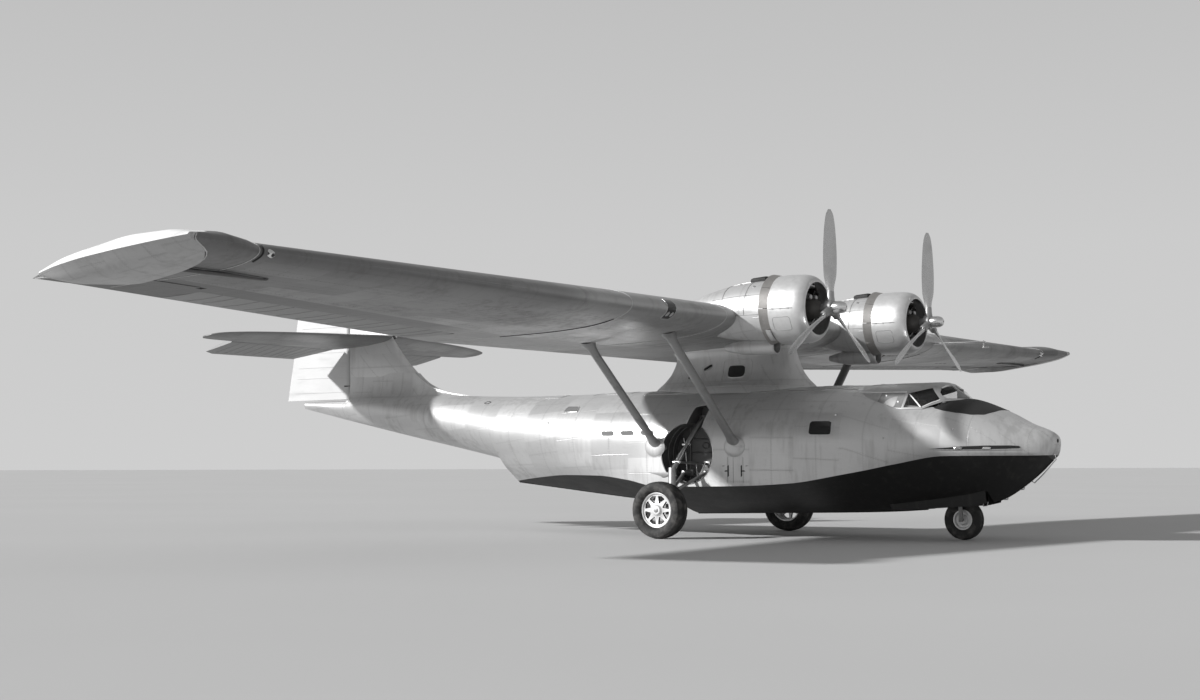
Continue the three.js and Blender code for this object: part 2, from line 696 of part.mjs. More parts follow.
/** Turned ring about an engine's axis whose facets face the cylinder heads squarely. */
function turnedHalfStep(profile, y) {
  const points = profile.map(([along, radius]) => new THREE.Vector2(radius, along));
  const geometry = new THREE.LatheGeometry(points, ENGINE.segments);
  geometry.rotateY(Math.PI / ENGINE.segments);
  const turn = new THREE.Quaternion().setFromUnitVectors(v3(0, 1, 0), alongX);
  return solid(geometry.applyQuaternion(turn).translate(0, y, ENGINE.z));
}

const CYLINDERS = { perRow: 7, rows: [2900, 2640], radius: 84, tip: 595.8 };

function engineSolid(y) {
  const axis = v3(0, y, ENGINE.z);
  const rear = ENGINE.firewall + GAP;
  const crankcase = turned([[rear, 0], [rear, 330], [2560, 330], [3000, 300], [3060, 210], [3200, 180],
    [3300, 110], [3340, 95], [3340, 0]], alongX, axis, 20);
  const parts = [solid(crankcase)];
  CYLINDERS.rows.forEach((x, row) => {
    for (let i = 0; i < CYLINDERS.perRow; i += 1) {
      const angle = (2 * Math.PI * (i + row / 2)) / CYLINDERS.perRow;
      const direction = v3(0, Math.sin(angle), Math.cos(angle));
      const foot = v3(x, y, ENGINE.z).addScaledVector(direction, 200);
      const neck = v3(x, y, ENGINE.z).addScaledVector(direction, 470);
      const head = v3(x, y, ENGINE.z).addScaledVector(direction, CYLINDERS.tip);
      parts.push(solid(bar(foot, neck, CYLINDERS.radius, 6)));
      parts.push(solid(bar(neck.clone().addScaledVector(direction, -8), head, 106, 6, 62)));
    }
  });
  return join(parts);
}

function propellerSolid(y) {
  const axis = v3(0, y, ENGINE.z);
  const hub = turned([[3340.3, 0], [3340.3, 92], [3420, 92], [3430, 150], [3560, 150], [3575, 118],
    [3700, 118], [3790, 92], [3827, 40], [3836, 0]], alongX, axis, 20);
  const parts = [solid(hub)];
  for (let i = 0; i < PROP.blades; i += 1) {
    parts.push(bladeSolid().rotate([360 / PROP.blades * i, 0, 0]).translate([0, y, ENGINE.z]));
  }
  return join(parts);
}

// Blade from root to tip along +Z: distance out, chord, thickness and pitch in degrees.
const BLADE = rows(
  ['r', 'chord', 'thick', 'pitch'],
  [100, 130, 128, 60],
  [330, 140, 110, 52],
  [620, 250, 56, 42],
  [1050, 290, 34, 31],
  [1450, 265, 22, 24],
  [1720, 190, 14, 20],
  [1830, 70, 8, 19],
);

function bladeSolid() {
  const section = [[0.5, 0], [0.25, 0.42], [-0.1, 0.5], [-0.5, 0.05], [-0.5, -0.05], [-0.1, -0.3],
    [0.25, -0.25]];
  const rings = BLADE.map(({ r, chord, thick, pitch }) => {
    const turn = THREE.MathUtils.degToRad(pitch);
    const [c, s] = [Math.cos(turn), Math.sin(turn)];
    return section.map(([along, out]) => {
      const [a, b] = [along * chord, out * thick];
      return v3(PROP.hubX + a * s + b * c, a * c - b * s, r);
    });
  });
  return solid(loft(rings));
}

function coolerSolid(y) {
  const axis = v3(0, y, 3640);
  return solid(turned([[1250, 0], [1250, 60], [1600, 135], [2000, 164], [2330, 161], [2372, 150], [2372, 136],
    [2340, 128], [2120, 128], [2120, 0]], alongX, axis, 16));
}

// Tail group

const FIN = rows(
  ['z', 'xLead', 'thick'],
  [2700, -6500, 60],
  [3000, -6900, 90],
  [3330, -7780, 180],
  [3710, -8320, 230],
  [4400, -9080, 235],
  [5000, -9530, 220],
  [5500, -9830, 190],
  [5900, -10080, 150],
  [6090, -10270, 110],
);

/** Port half of one section of the fin. */
function finRing({ z, xLead, thick }, grow) {
  const chord = xLead - FIN_POST_X;
  const section = [[0, 0], [0.06, 0.4], [0.25, 0.8], [0.6, 1], [1, 0.98]];
  const half = thick / 2 + grow;
  const along = (f) => xLead - f * chord + (f === 0 ? grow * 3 : f === 1 ? -grow : 0);
  const side = section.map(([f, t]) => v3(along(f), f === 0 ? 0 : t * half, z));
  return [...side, v3(along(1), 0, z)];
}

const finSolid = (grow = 0) => bothSides(FIN.map((row) => finRing(row, grow)));

const RUDDER = rows(
  ['z', 'xTrail', 'nose'],
  [2985, -12470, 110],
  [3400, -12400, 114],
  [4000, -12290, 116],
  [4900, -12180, 108],
  [5500, -11990, 92],
  [5880, -11660, 74],
  [6080, -11230, 56],
  [6150, -10830, 40],
);

function rudderSolid() {
  const rings = RUDDER.map(({ z, xTrail, nose }) =>
    surfaceSection(nose, RUDDER_HINGE_X - xTrail).map(([fore, out]) => v3(RUDDER_HINGE_X + fore, out, z)));
  return solid(loft(rings));
}

const TAILPLANE = rows(
  ['y', 'xLead', 'xTrail', 'thick'],
  [4600, -10230, -10470, 26],
  [4500, -10040, -10610, 56],
  [4150, -9830, -10640, 84],
  [3600, -9640, -10640, 106],
  [352, -9040, -10640, 180],
  [340, -9030, -10330, 190],
  [0.2, -9030, -10330, 190],
);

/** The tailplane slopes down towards its trailing edge. */
const tailplaneZ = (x) => 4420 + (x + 9000) * 0.126;

function tailplaneRing({ y, xLead, xTrail, thick }) {
  const chord = xLead - xTrail;
  const section = [[0, 0], [0.05, 0.42], [0.22, 0.88], [0.5, 1], [1, 0.6]];
  const upper = section.map(([f, t]) => [xLead - f * chord, t * thick / 2]);
  const lower = upper.slice(1).reverse().map(([x, h]) => [x, -h]);
  return [...upper, ...lower].map(([x, h]) => v3(x, y, tailplaneZ(x) + h));
}

/** Port half of the tailplane, which butts against the side of the fin. */
const tailplaneHalf = () => solid(loft(TAILPLANE.map(tailplaneRing))).subtract(finSolid(GAP));

const ELEVATOR = { yIn: 345, yOut: 3590, nose: 47, chord: 945, droop: 15, cutback: 0.4 };

function elevatorSolid() {
  const turn = THREE.MathUtils.degToRad(ELEVATOR.droop);
  const [c, s] = [Math.cos(turn), Math.sin(turn)];
  const { x, z } = ELEVATOR_HINGE;
  const ring = (y, chord, slant) => surfaceSection(ELEVATOR.nose, chord).map(([fore, up]) =>
    v3(x + fore * c - up * s, y + Math.max(0, -fore) * slant, z + fore * s + up * c));
  const rings = [ring(ELEVATOR.yIn, ELEVATOR.chord, ELEVATOR.cutback), ring(1600, ELEVATOR.chord, 0),
    ring(3300, ELEVATOR.chord - 10, 0), ring(ELEVATOR.yOut, ELEVATOR.chord - 130, 0)];
  return solid(loft(rings));
}

function finAndRudder() {
  let fin = finSolid().subtract(hullSolid(TAIL, GAP));
  let rudder = rudderSolid();
  const upright = new THREE.Matrix4().makeBasis(v3(1, 0, 0), v3(0, 0, 1), v3(0, -1, 0));
  upright.setPosition(RUDDER_HINGE_X, 0, 0);
  for (const z of [3300, 5150]) {
    fin = fin.add(hingePlate(upright, z, 150));
    rudder = rudder.subtract(hingeSlot(upright, z, 150, 300));
  }
  return { fin, rudder };
}

function tailplaneAndElevator() {
  let tailplane = tailplaneHalf();
  let elevator = elevatorSolid();
  const frame = new THREE.Matrix4().setPosition(ELEVATOR_HINGE.x, 0, ELEVATOR_HINGE.z);
  for (const y of [900, 2900]) {
    tailplane = tailplane.add(hingePlate(frame, y, 90));
    elevator = elevator.subtract(hingeSlot(frame, y, 90, 200));
  }
  return { tailplane, elevator };
}

// Landing gear

function tyreSolid({ radius, width, rim }, at) {
  const half = width / 2;
  const wall = radius - rim;
  const side = [[0.62, rim + GAP], [0.9, rim + wall * 0.2], [1, rim + wall * 0.5],
    [0.86, rim + wall * 0.84], [0.5, radius]].map(([out, r]) => [half * out, r]);
  const otherSide = [...side].reverse().map(([out, r]) => [-out, r]);
  const profile = [...side, ...otherSide, side[0]];
  return solid(turned(profile, alongY, at, 28));
}

/** Cast wheel, seated in the tyre and running on a stub axle; its web lies outboard of the middle. */
function wheelSolid({ rim, width, web }, bore, spokes, at) {
  const half = width * 0.31;
  const profile = [[-half, rim], [half, rim], [half, rim - 28], [web + 26, rim - 46], [web + 26, 96],
    [web + 70, 82], [web + 70, bore], [-70, bore], [-70, 82], [web - 26, 96], [web - 26, rim - 46],
    [-half, rim - 28], [-half, rim]];
  let wheel = solid(turned(profile, alongY, at, 28));
  for (let i = 0; i < spokes; i += 1) {
    const angle = (2 * Math.PI * (i + 0.5)) / spokes;
    const inner = 118;
    const outer = rim - 66;
    const spread = Math.PI / spokes * 0.62;
    const point = (r, a) => [at.x + r * Math.cos(a), at.z + r * Math.sin(a)];
    const hole = [point(inner, angle), point(outer, angle - spread), point(outer + 10, angle),
      point(outer, angle + spread)];
    wheel = wheel.subtract(solid(sidePrism(hole, at.y + web - 60, at.y + web + 60)));
  }
  return wheel;
}

const AXLE_RADIUS = 42;
const KNEE = { y: 2080, z: 1290 };

/** Shock strut from the top of the well to the knee, casting down to the axle, and its links. */
function mainLeg() {
  const hubZ = MAIN_WHEEL.radius;
  const wall = WHEEL_WELL.innerY + GAP;
  const parts = [
    solid(bar(v3(0, 2060, hubZ), v3(0, MAIN_WHEEL.y + MAIN_WHEEL.web + 80, hubZ), AXLE_RADIUS, 24)),
    solid(box(-90, 90, 2030, 2190, hubZ - 95, hubZ + 110)),
    solid(bar(v3(50, 1030, 2340), v3(20, 1560, 1820), 58, 12)),
    solid(bar(v3(20, 1545, 1835), v3(0, KNEE.y, KNEE.z), 44, 12)),
    solid(bar(v3(0, KNEE.y, KNEE.z + 70), v3(0, 2110, hubZ), 78, 12, 70)),
    solid(box(-5, 105, wall, 1060, 2290, 2400)),
    solid(bar(v3(20, 1900, 1470), v3(150, 1000, 1430), 26, 8)),
    solid(box(90, 210, wall, 1030, 1380, 1480)),
    solid(sidePrism([[-580, 1273], [-25, 1268], [-25, 1235], [-215, 1165], [-270, 1200]], 2010, 2100)),
  ];
  for (const side of [-1, 1]) {
    parts.push(solid(bar(v3(side * 260, 1250, 1260), v3(side * 25, 2070, 900), 34, 8)));
    parts.push(solid(bar(v3(side * 260, 1000, 1260), v3(side * 260, 1290, 1260), 42, 8)));
    parts.push(solid(box(side * 260 - 60, side * 260 + 60, wall, 1020, 1200, 1320)));
  }
  return join(parts);
}

const NOSE_GEAR = { legTop: 1560, collar: 900, armY: 150 };

function noseLeg() {
  const { x } = NOSE_WHEEL;
  return join([
    solid(bar(v3(x, 0, NOSE_GEAR.collar), v3(x, 0, NOSE_GEAR.legTop - GAP), 62, 16)),
    solid(box(x - 150, x + 150, -130, 130, NOSE_GEAR.legTop - 60, NOSE_GEAR.legTop - GAP)),
    solid(bar(v3(x + 40, 0, 1120), v3(x + 330, 0, NOSE_GEAR.legTop - 40), 26, 8)),
    solid(box(x + 270, x + 390, -50, 50, NOSE_GEAR.legTop - 70, NOSE_GEAR.legTop - GAP)),
  ]);
}

function noseFork() {
  const { x, radius } = NOSE_WHEEL;
  const crown = NOSE_GEAR.collar - GAP;
  return join([
    solid(bar(v3(x, 0, crown - 62), v3(x, 0, crown), 66, 16)),
    solid(box(x - 60, x + 60, -172, 172, crown - 84, crown - 22)),
    solid(box(x - 36, x + 36, NOSE_GEAR.armY - 14, NOSE_GEAR.armY + 22, radius - 40, crown - 30)),
    solid(box(x - 36, x + 36, -NOSE_GEAR.armY - 22, -NOSE_GEAR.armY + 14, radius - 40, crown - 30)),
    solid(bar(v3(x, -165, radius), v3(x, 165, radius), 26, 24)),
  ]);
}

// Assembly

const airframe = new THREE.Group();
airframe.position.x = -ORIGIN_X;

function add(name, manifold, material) {
  const mesh = new THREE.Mesh(surface(manifold), material());
  mesh.name = name;
  airframe.add(mesh);
  return mesh;
}

function addPair(name, portSolid, material) {
  add(`${name}_port`, portSolid, material);
  add(`${name}_starboard`, mirrored(portSolid), material);
}

const hullGrown = hullSolid(HULL, GAP);
const wingGrown = wingSolid([-WING.centreHalf, WING.centreHalf], GAP);

function buildHull() {
  const { xRear, xFront, halfWidth, zFloor, zTop } = COCKPIT;
  const cockpit = solid(box(xRear, xFront, -halfWidth, halfWidth, zFloor, zTop));
  const noseWell = solid(box(4560, 5760, -310, 310, 400, NOSE_GEAR.legTop));
  const canopyCut = canopySolid(CANOPY, -GAP, (row) => row.zSill - GAP);
  const bow = hullSolid(framesBetween(NOSE_X, BOW_FRAME_X)).subtract(canopyCut);
  add('hull_bow', bow.subtract(cockpit).subtract(noseWell), silverSkin);

  const midFrames = framesBetween(BOW_FRAME_X, STEP_X).map((row) =>
    (row.x === BOW_FRAME_X ? { ...row, x: row.x - GAP } : row));
  let mid = hullSolid(midFrames);
  const { x, z, radius, innerY } = WHEEL_WELL;
  const well = solid(bar(v3(x, innerY, z), v3(x, 1800, z), radius, 28));
  const slotOutline = [[-60, 2160], [310, 2080], [350, 2520], [230, 2600], [0, 2560]];
  const slot = solid(sidePrism(slotOutline, innerY, 1800));
  const bay = well.add(slot);
  mid = mid.subtract(bay).subtract(mirrored(bay));
  add('hull_mid', mid, silverSkin);

  const aftFrames = framesBetween(STEP_X, AFT_STEP_X).map((row) =>
    (row.x === STEP_X ? { ...row, x: row.x - GAP } : row));
  add('hull_aft', hollowed(hullSolid(aftFrames), aftFrames.slice(0, -1), HULL_WALL), silverSkin);
  add('bottom_fore', planingBottom(KEEL_FORE).subtract(noseWell), blackBottom);
  const aftKeel = KEEL_AFT.map((row) => (row.x === STEP_X ? { ...row, x: row.x - GAP } : row));
  add('bottom_aft', planingBottom(aftKeel), blackBottom);
}

function buildCockpit() {
  const { frame, sideGlass, screenGlass } = canopyParts();
  add('canopy', frame, silverSkin);
  addPair('side_window', sideGlass, glazing);
  addPair('windscreen', screenGlass, glazing);
  addPair('seat', seatSolid(400), seatLeather);
  add('instrument_panel', panelSolid(), darkSkin);
  add('control_yoke', yokeSolid(), gearSteel);
}

function buildTail() {
  const { fin, rudder } = finAndRudder();
  const { tailplane, elevator } = tailplaneAndElevator();
  add('tail_cone', hollowed(hullSolid(TAIL), TAIL.slice(0, 4), HULL_WALL), silverSkin);
  add('fin', fin, silverSkin);
  addPair('tailplane', tailplane, silverSkin);
  add('rudder', rudder, dopedFabric);
  addPair('elevator', elevator, dopedFabric);
}

function buildWing() {
  const { centre, panel, aileron } = wingParts();
  add('wing_centre', centre, silverSkin);
  addPair('wing_outer', panel, silverSkin);
  addPair('aileron', aileron, dopedFabric);
  addPair('float', floatSolid(), silverSkin);
  addPair('float_frame', floatFrame(), gearSteel);
  add('pitot_boom', pitotBoom().subtract(wingGrown), gearSteel);
  const pylon = solid(loft(PYLON.map((row) => leafRing(row)))).subtract(wingGrown).subtract(hullGrown);
  add('pylon', pylon, silverSkin);
  for (const [name, ends] of Object.entries(STRUTS)) {
    addPair(`strut_${name}`, strutSolid(ends).subtract(hullGrown).subtract(wingGrown), darkSkin);
  }
}

function buildEngines() {
  const y = ENGINE.y;
  const nacelle = nacelleSolid(y).subtract(wingGrown);
  addPair('nacelle', nacelle, silverSkin);
  addPair('cowl', cowlRing(y), silverSkin);
  addPair('cowl_flaps', flapRing(y), darkSkin);
  addPair('engine', engineSolid(y), engineIron);
  add('propeller_port', propellerSolid(y), propMetal);
  add('propeller_starboard', propellerSolid(-y), propMetal);
  const cooler = coolerSolid(y).subtract(nacelleSolid(y, GAP)).subtract(wingGrown);
  addPair('oil_cooler', cooler, silverSkin);
}

function buildGear() {
  const mainHub = v3(0, MAIN_WHEEL.y, MAIN_WHEEL.radius);
  addPair('main_leg', mainLeg(), gearSteel);
  addPair('main_tyre', tyreSolid(MAIN_WHEEL, mainHub), tyreRubber);
  addPair('main_wheel', wheelSolid(MAIN_WHEEL, AXLE_RADIUS + 1, 8, mainHub), castWheel);
  const noseHub = v3(NOSE_WHEEL.x, 0, NOSE_WHEEL.radius);
  add('nose_leg', noseLeg(), gearSteel);
  add('nose_fork', noseFork(), gearSteel);
  add('nose_tyre', tyreSolid(NOSE_WHEEL, noseHub), tyreRubber);
  add('nose_wheel', wheelSolid(NOSE_WHEEL, 27, 0, noseHub), castWheel);
}

buildHull();
buildCockpit();
buildTail();
buildWing();
buildEngines();
buildGear();

export default airframe;
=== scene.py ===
"""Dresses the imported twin-engined amphibian flying boat and sets it on a pale studio floor.

Shapes are drawn in metres from the main axle (x forward, y to port, z up). Draft.build moves them
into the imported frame, so every finished piece sits at the origin with its place in its mesh.
"""

import logging
from dataclasses import dataclass
from enum import Enum
from functools import partial
from math import atan2, copysign, cos, hypot, pi, radians, sin, sqrt
from typing import Any, Callable, Iterable, Sequence

import bmesh
import bpy
import numpy as np
from mathutils import Matrix, Vector


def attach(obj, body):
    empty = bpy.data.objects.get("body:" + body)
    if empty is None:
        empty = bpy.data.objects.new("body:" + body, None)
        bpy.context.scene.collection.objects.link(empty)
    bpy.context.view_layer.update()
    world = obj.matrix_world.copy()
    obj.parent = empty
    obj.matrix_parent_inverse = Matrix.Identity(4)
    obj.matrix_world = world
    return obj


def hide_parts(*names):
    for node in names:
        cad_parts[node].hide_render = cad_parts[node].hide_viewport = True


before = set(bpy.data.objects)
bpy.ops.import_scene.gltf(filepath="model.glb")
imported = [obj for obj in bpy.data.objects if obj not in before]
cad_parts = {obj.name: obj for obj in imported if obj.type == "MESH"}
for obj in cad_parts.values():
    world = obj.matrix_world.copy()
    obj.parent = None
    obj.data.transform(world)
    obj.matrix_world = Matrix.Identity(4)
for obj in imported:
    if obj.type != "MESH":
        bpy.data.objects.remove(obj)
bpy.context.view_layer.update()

LOG = logging.getLogger("flying_boat")
SHIFT = np.array([2.735, 0.0, 0.0])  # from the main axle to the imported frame
ENGINE_OUT, ENGINE_UP = 2.11, 4.3
CENTRE_HALF, WING_END = 6.1, 14.9
Point = Sequence[float]
Outline = Sequence[tuple[float, float]]
Surface = Callable[..., np.ndarray]
SIDES = (("port", 1), ("starboard", -1))
TURN = 2 * pi


# Numbers read along smooth lines


def glide(keys: np.ndarray, values: np.ndarray, at: np.ndarray) -> np.ndarray:
    """Reads a table along a smooth line that never overshoots its rows.

    Args:
        keys: Rising places of the rows.
        values: One value for each row.
        at: Places to read.

    Returns:
        The value at each place.
    """
    h = np.diff(keys)
    d = np.diff(values) / h
    slope = np.zeros(len(keys))
    for k in range(1, len(keys) - 1):
        if d[k - 1] * d[k] > 0:
            a, b = 2 * h[k] + h[k - 1], h[k] + 2 * h[k - 1]
            slope[k] = (a + b) / (a / d[k - 1] + b / d[k])
    slope[0], slope[-1] = d[0], d[-1]
    k = np.clip(np.searchsorted(keys, at) - 1, 0, len(h) - 1)
    t = (at - keys[k]) / h[k]
    rise = t * t * (3 - 2 * t)
    return (values[k] * (1 - rise) + values[k + 1] * rise + h[k] * t * (1 - t)
            * ((1 - t) * slope[k] - t * slope[k + 1]))


class Table:
    """Named columns over one driving column."""

    def __init__(self, names: str, *rows: Sequence[float], straight: bool = False) -> None:
        """Takes the column names and the rows.

        Args:
            names: Column names, the driving one first.
            rows: One row of numbers for each place.
            straight: Whether the lines between rows are straight.
        """
        data = np.array(sorted(rows), float)
        self.keys = data[:, 0]
        self.fine = np.linspace(self.keys[0], self.keys[-1], 4001)
        line = (lambda k, c, at: np.interp(at, k, c)) if straight else glide
        self.columns = {n: line(self.keys, c, self.fine) for n, c in zip(names.split()[1:], data.T[1:])}

    def pick(self, at: float, names: str) -> tuple[float, ...]:
        """Reads some columns at one place."""
        return tuple(self.read(name, at) for name in names.split())

    def row(self, at: float) -> dict[str, float]:
        """Reads every column at one place."""
        return {name: self.read(name, at) for name in self.columns}

    def read(self, name: str, at: float | np.ndarray) -> Any:
        """Reads one column along a smooth line.

        Args:
            name: Column name.
            at: Place or places.

        Returns:
            The value there, or an array of them.
        """
        found = np.interp(at, self.fine, self.columns[name])
        return float(found) if np.isscalar(at) else found


def rounded(points: Outline, steps: int = 6, share: float = 0.3) -> list[tuple[float, float]]:
    """Rounds the corners of a closed outline.

    Args:
        points: Corners in order.
        steps: Points on each corner.
        share: Part of each side that the corner takes.

    Returns:
        The rounded outline.
    """
    done = []
    for i, b in enumerate(points):
        a, c = points[i - 1], points[(i + 1) % len(points)]
        start = [b[k] + (a[k] - b[k]) * share for k in (0, 1)]
        end = [b[k] + (c[k] - b[k]) * share for k in (0, 1)]
        for j in range(steps + 1):
            t = j / steps
            done.append(tuple((1 - t) ** 2 * start[k] + 2 * t * (1 - t) * b[k] + t * t * end[k]
                              for k in (0, 1)))
    return done


def trace(points: Outline, step: float = 0.06, closed: bool = False) -> np.ndarray:
    """Adds points along a line so that it can follow a curved surface.

    Args:
        points: Corners of the line.
        step: Greatest distance between two points.
        closed: Whether the line returns to its start.

    Returns:
        The points, one row for each.
    """
    line = np.asarray([*points, points[0]] if closed else points, float)
    run = np.concatenate([[0], np.cumsum(np.linalg.norm(np.diff(line, axis=0), axis=1))])
    at = np.linspace(0, run[-1], max(int(run[-1] / step), 2) + 1)
    points = np.stack([np.interp(at, run, column) for column in line.T], 1)
    return points[:-1] if closed else points


def oblong(u0: float, v0: float, u1: float, v1: float) -> list[tuple[float, float]]:
    """Rectangle between two corners."""
    return [(u0, v0), (u1, v0), (u1, v1), (u0, v1)]


def about(u: float, v: float, wide: float, high: float) -> list[tuple[float, float]]:
    """Rectangle about a middle."""
    return oblong(u - wide, v - high, u + wide, v + high)


def oval(u: float, v: float, wide: float, high: float,
         turns: Iterable[float] | int = 24) -> list[tuple[float, float]]:
    """Points of an ellipse, at some angles or a number of points all round."""
    angles = np.arange(turns) * TURN / turns if isinstance(turns, int) else turns
    return [(u + wide * cos(t), v + high * sin(t)) for t in angles]


def mirrored(half: Sequence[Point], stop: int | None = None, start: int | None = None) -> list[Point]:
    """Adds the mirror image of points, last first, with the second number of each reversed."""
    return [*half, *[(p[0], -p[1], *p[2:]) for p in half[start:stop:-1]]]


# Shader arithmetic


def arithmetic(operation: str, reverse: bool = False) -> Callable[..., "Wire"]:
    """Operator of a wire that adds a Math node."""
    return lambda wire, *other: wire.bench.math(operation, *((*other, wire) if reverse else (wire, *other)))


class Wire:
    """A shader value; arithmetic on it adds Math nodes."""

    def __init__(self, bench: "Bench", socket: bpy.types.NodeSocket | None) -> None:
        """Keeps the bench and the socket."""
        self.bench, self.socket = bench, socket

    __add__ = __radd__ = arithmetic("ADD")
    __mul__ = __rmul__ = arithmetic("MULTIPLY")
    __sub__, __rsub__ = arithmetic("SUBTRACT"), arithmetic("SUBTRACT", reverse=True)
    __truediv__, __abs__ = arithmetic("DIVIDE"), arithmetic("ABSOLUTE")

    def fold(self, pitch: float, shift: Any = 0.0) -> "Wire":
        """Distance to the nearest multiple of a pitch."""
        return abs(self.bench.math("WRAP", self + shift, pitch / 2, -pitch / 2))

    def step(self, low: float, high: float) -> "Wire":
        """Rises smoothly from 0 to 1, or falls where high is the smaller.

        Args:
            low: Value at which the result is 0.
            high: Value at which it is 1.

        Returns:
            The result as a wire.
        """
        ends = (low, high, 0.0, 1.0) if low < high else (high, low, 1.0, 0.0)
        names = ("From Min", "From Max", "To Min", "To Max")
        return self.bench.node("ShaderNodeMapRange", {"interpolation_type": "SMOOTHSTEP"},
                               {"Value": self, **dict(zip(names, ends))})


class Bench:
    """Node tree of one material."""

    def __init__(self, name: str) -> None:
        """Makes an empty material."""
        self.material = bpy.data.materials.new(name)
        self.material.use_nodes = True
        self.nodes = self.material.node_tree.nodes
        self.links = self.material.node_tree.links
        self.nodes.clear()

    def node(self, kind: str, settings: dict[str, Any] | None = None, values: dict[Any, Any] | None = None,
             out: int | str = 0) -> Wire:
        """Adds any node.

        Args:
            kind: Node type.
            settings: Properties, set first.
            values: Socket values or wires, by name or number.
            out: Output socket that is returned.

        Returns:
            The output as a wire.
        """
        made = self.nodes.new(kind)
        for name, value in (settings or {}).items():
            setattr(made, name, value)
        for name, value in (values or {}).items():
            if isinstance(value, Wire):
                self.links.new(value.socket, made.inputs[name])
            else:
                made.inputs[name].default_value = value
        return Wire(self, made.outputs[out] if made.outputs else None)

    def math(self, operation: str, *terms: Any) -> Wire:
        """Adds a Math node on numbers or wires."""
        return self.node("ShaderNodeMath", {"operation": operation}, dict(enumerate(terms)))

    def place(self) -> Wire:
        """Object coordinates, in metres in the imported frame."""
        return self.node("ShaderNodeTexCoord", out="Object")

    def axes(self, vector: Wire) -> tuple[Wire, Wire, Wire]:
        """Splits a vector."""
        outputs = self.node("ShaderNodeSeparateXYZ", values={0: vector}).socket.node.outputs
        return tuple(Wire(self, output) for output in outputs)

    def along_skin(self) -> tuple[Wire, Wire]:
        """Distances round and along the piece's own surface, in metres."""
        return self.axes(self.node("ShaderNodeUVMap", {"uv_map": "skin"}))[:2]

    def stretched(self, vector: Wire, scale: Point) -> Wire:
        """Scales a vector by fixed numbers."""
        return self.node("ShaderNodeVectorMath", {"operation": "MULTIPLY"}, {0: vector, 1: tuple(scale)})

    def noise(self, vector: Wire, scale: float, detail: float = 3.0, rough: float = 0.55) -> Wire:
        """Noise from 0 to 1."""
        return self.node("ShaderNodeTexNoise",
                         values={"Vector": vector, "Scale": scale, "Detail": detail, "Roughness": rough})

    def tint(self, tone: float, scale: Wire, warm: float = 0.0) -> Wire:
        """A grey that a wire makes lighter or darker."""
        return self.node("ShaderNodeVectorMath", {"operation": "SCALE"},
                         {0: grey(tone, warm)[:3], "Scale": scale})

    def blend(self, share: Any, a: Any, b: Any) -> Wire:
        """Mixes two colours."""
        return self.node("ShaderNodeMix", {"data_type": "RGBA"}, {0: share, 6: a, 7: b}, out=2)

    def finish(self, constants: dict[str, Any], colour: Any, rough: Any, height: Wire | None = None,
               depth: float = 0.002, metal: Any = 0.0) -> bpy.types.Material:
        """Closes the tree with a Principled shader.

        Args:
            constants: Fixed numbers for other sockets.
            colour: Base colour.
            rough: Roughness.
            height: Bump height.
            depth: Bump distance in metres.
            metal: Metallic.

        Returns:
            The material.
        """
        values = {"Base Color": colour, "Roughness": rough, "Metallic": metal, **constants}
        if height is not None:
            bump = {"Height": height, "Distance": depth, "Strength": 1.0}
            values["Normal"] = self.node("ShaderNodeBump", values=bump)
        shader = self.node("ShaderNodeBsdfPrincipled", values=values)
        self.node("ShaderNodeOutputMaterial", values={"Surface": shader})
        return self.material


def grey(tone: float, warm: float = 0.0) -> tuple[float, float, float, float]:
    """A near neutral grey, warmer or cooler by a little."""
    return (tone * (1 + warm), tone, tone * (1 - warm), 1.0)


class Finish:
    """A named finish that is made once."""

    name = "finish"

    def material(self) -> bpy.types.Material:
        """The material, made at its first use."""
        name = f"{self.name}_finish"
        return bpy.data.materials.get(name) or self.make(Bench(name))

    def make(self, bench: Bench) -> bpy.types.Material:
        """Builds the nodes.

        Args:
            bench: Bench that the nodes are put on.

        Returns:
            The material.
        """
        raise NotImplementedError


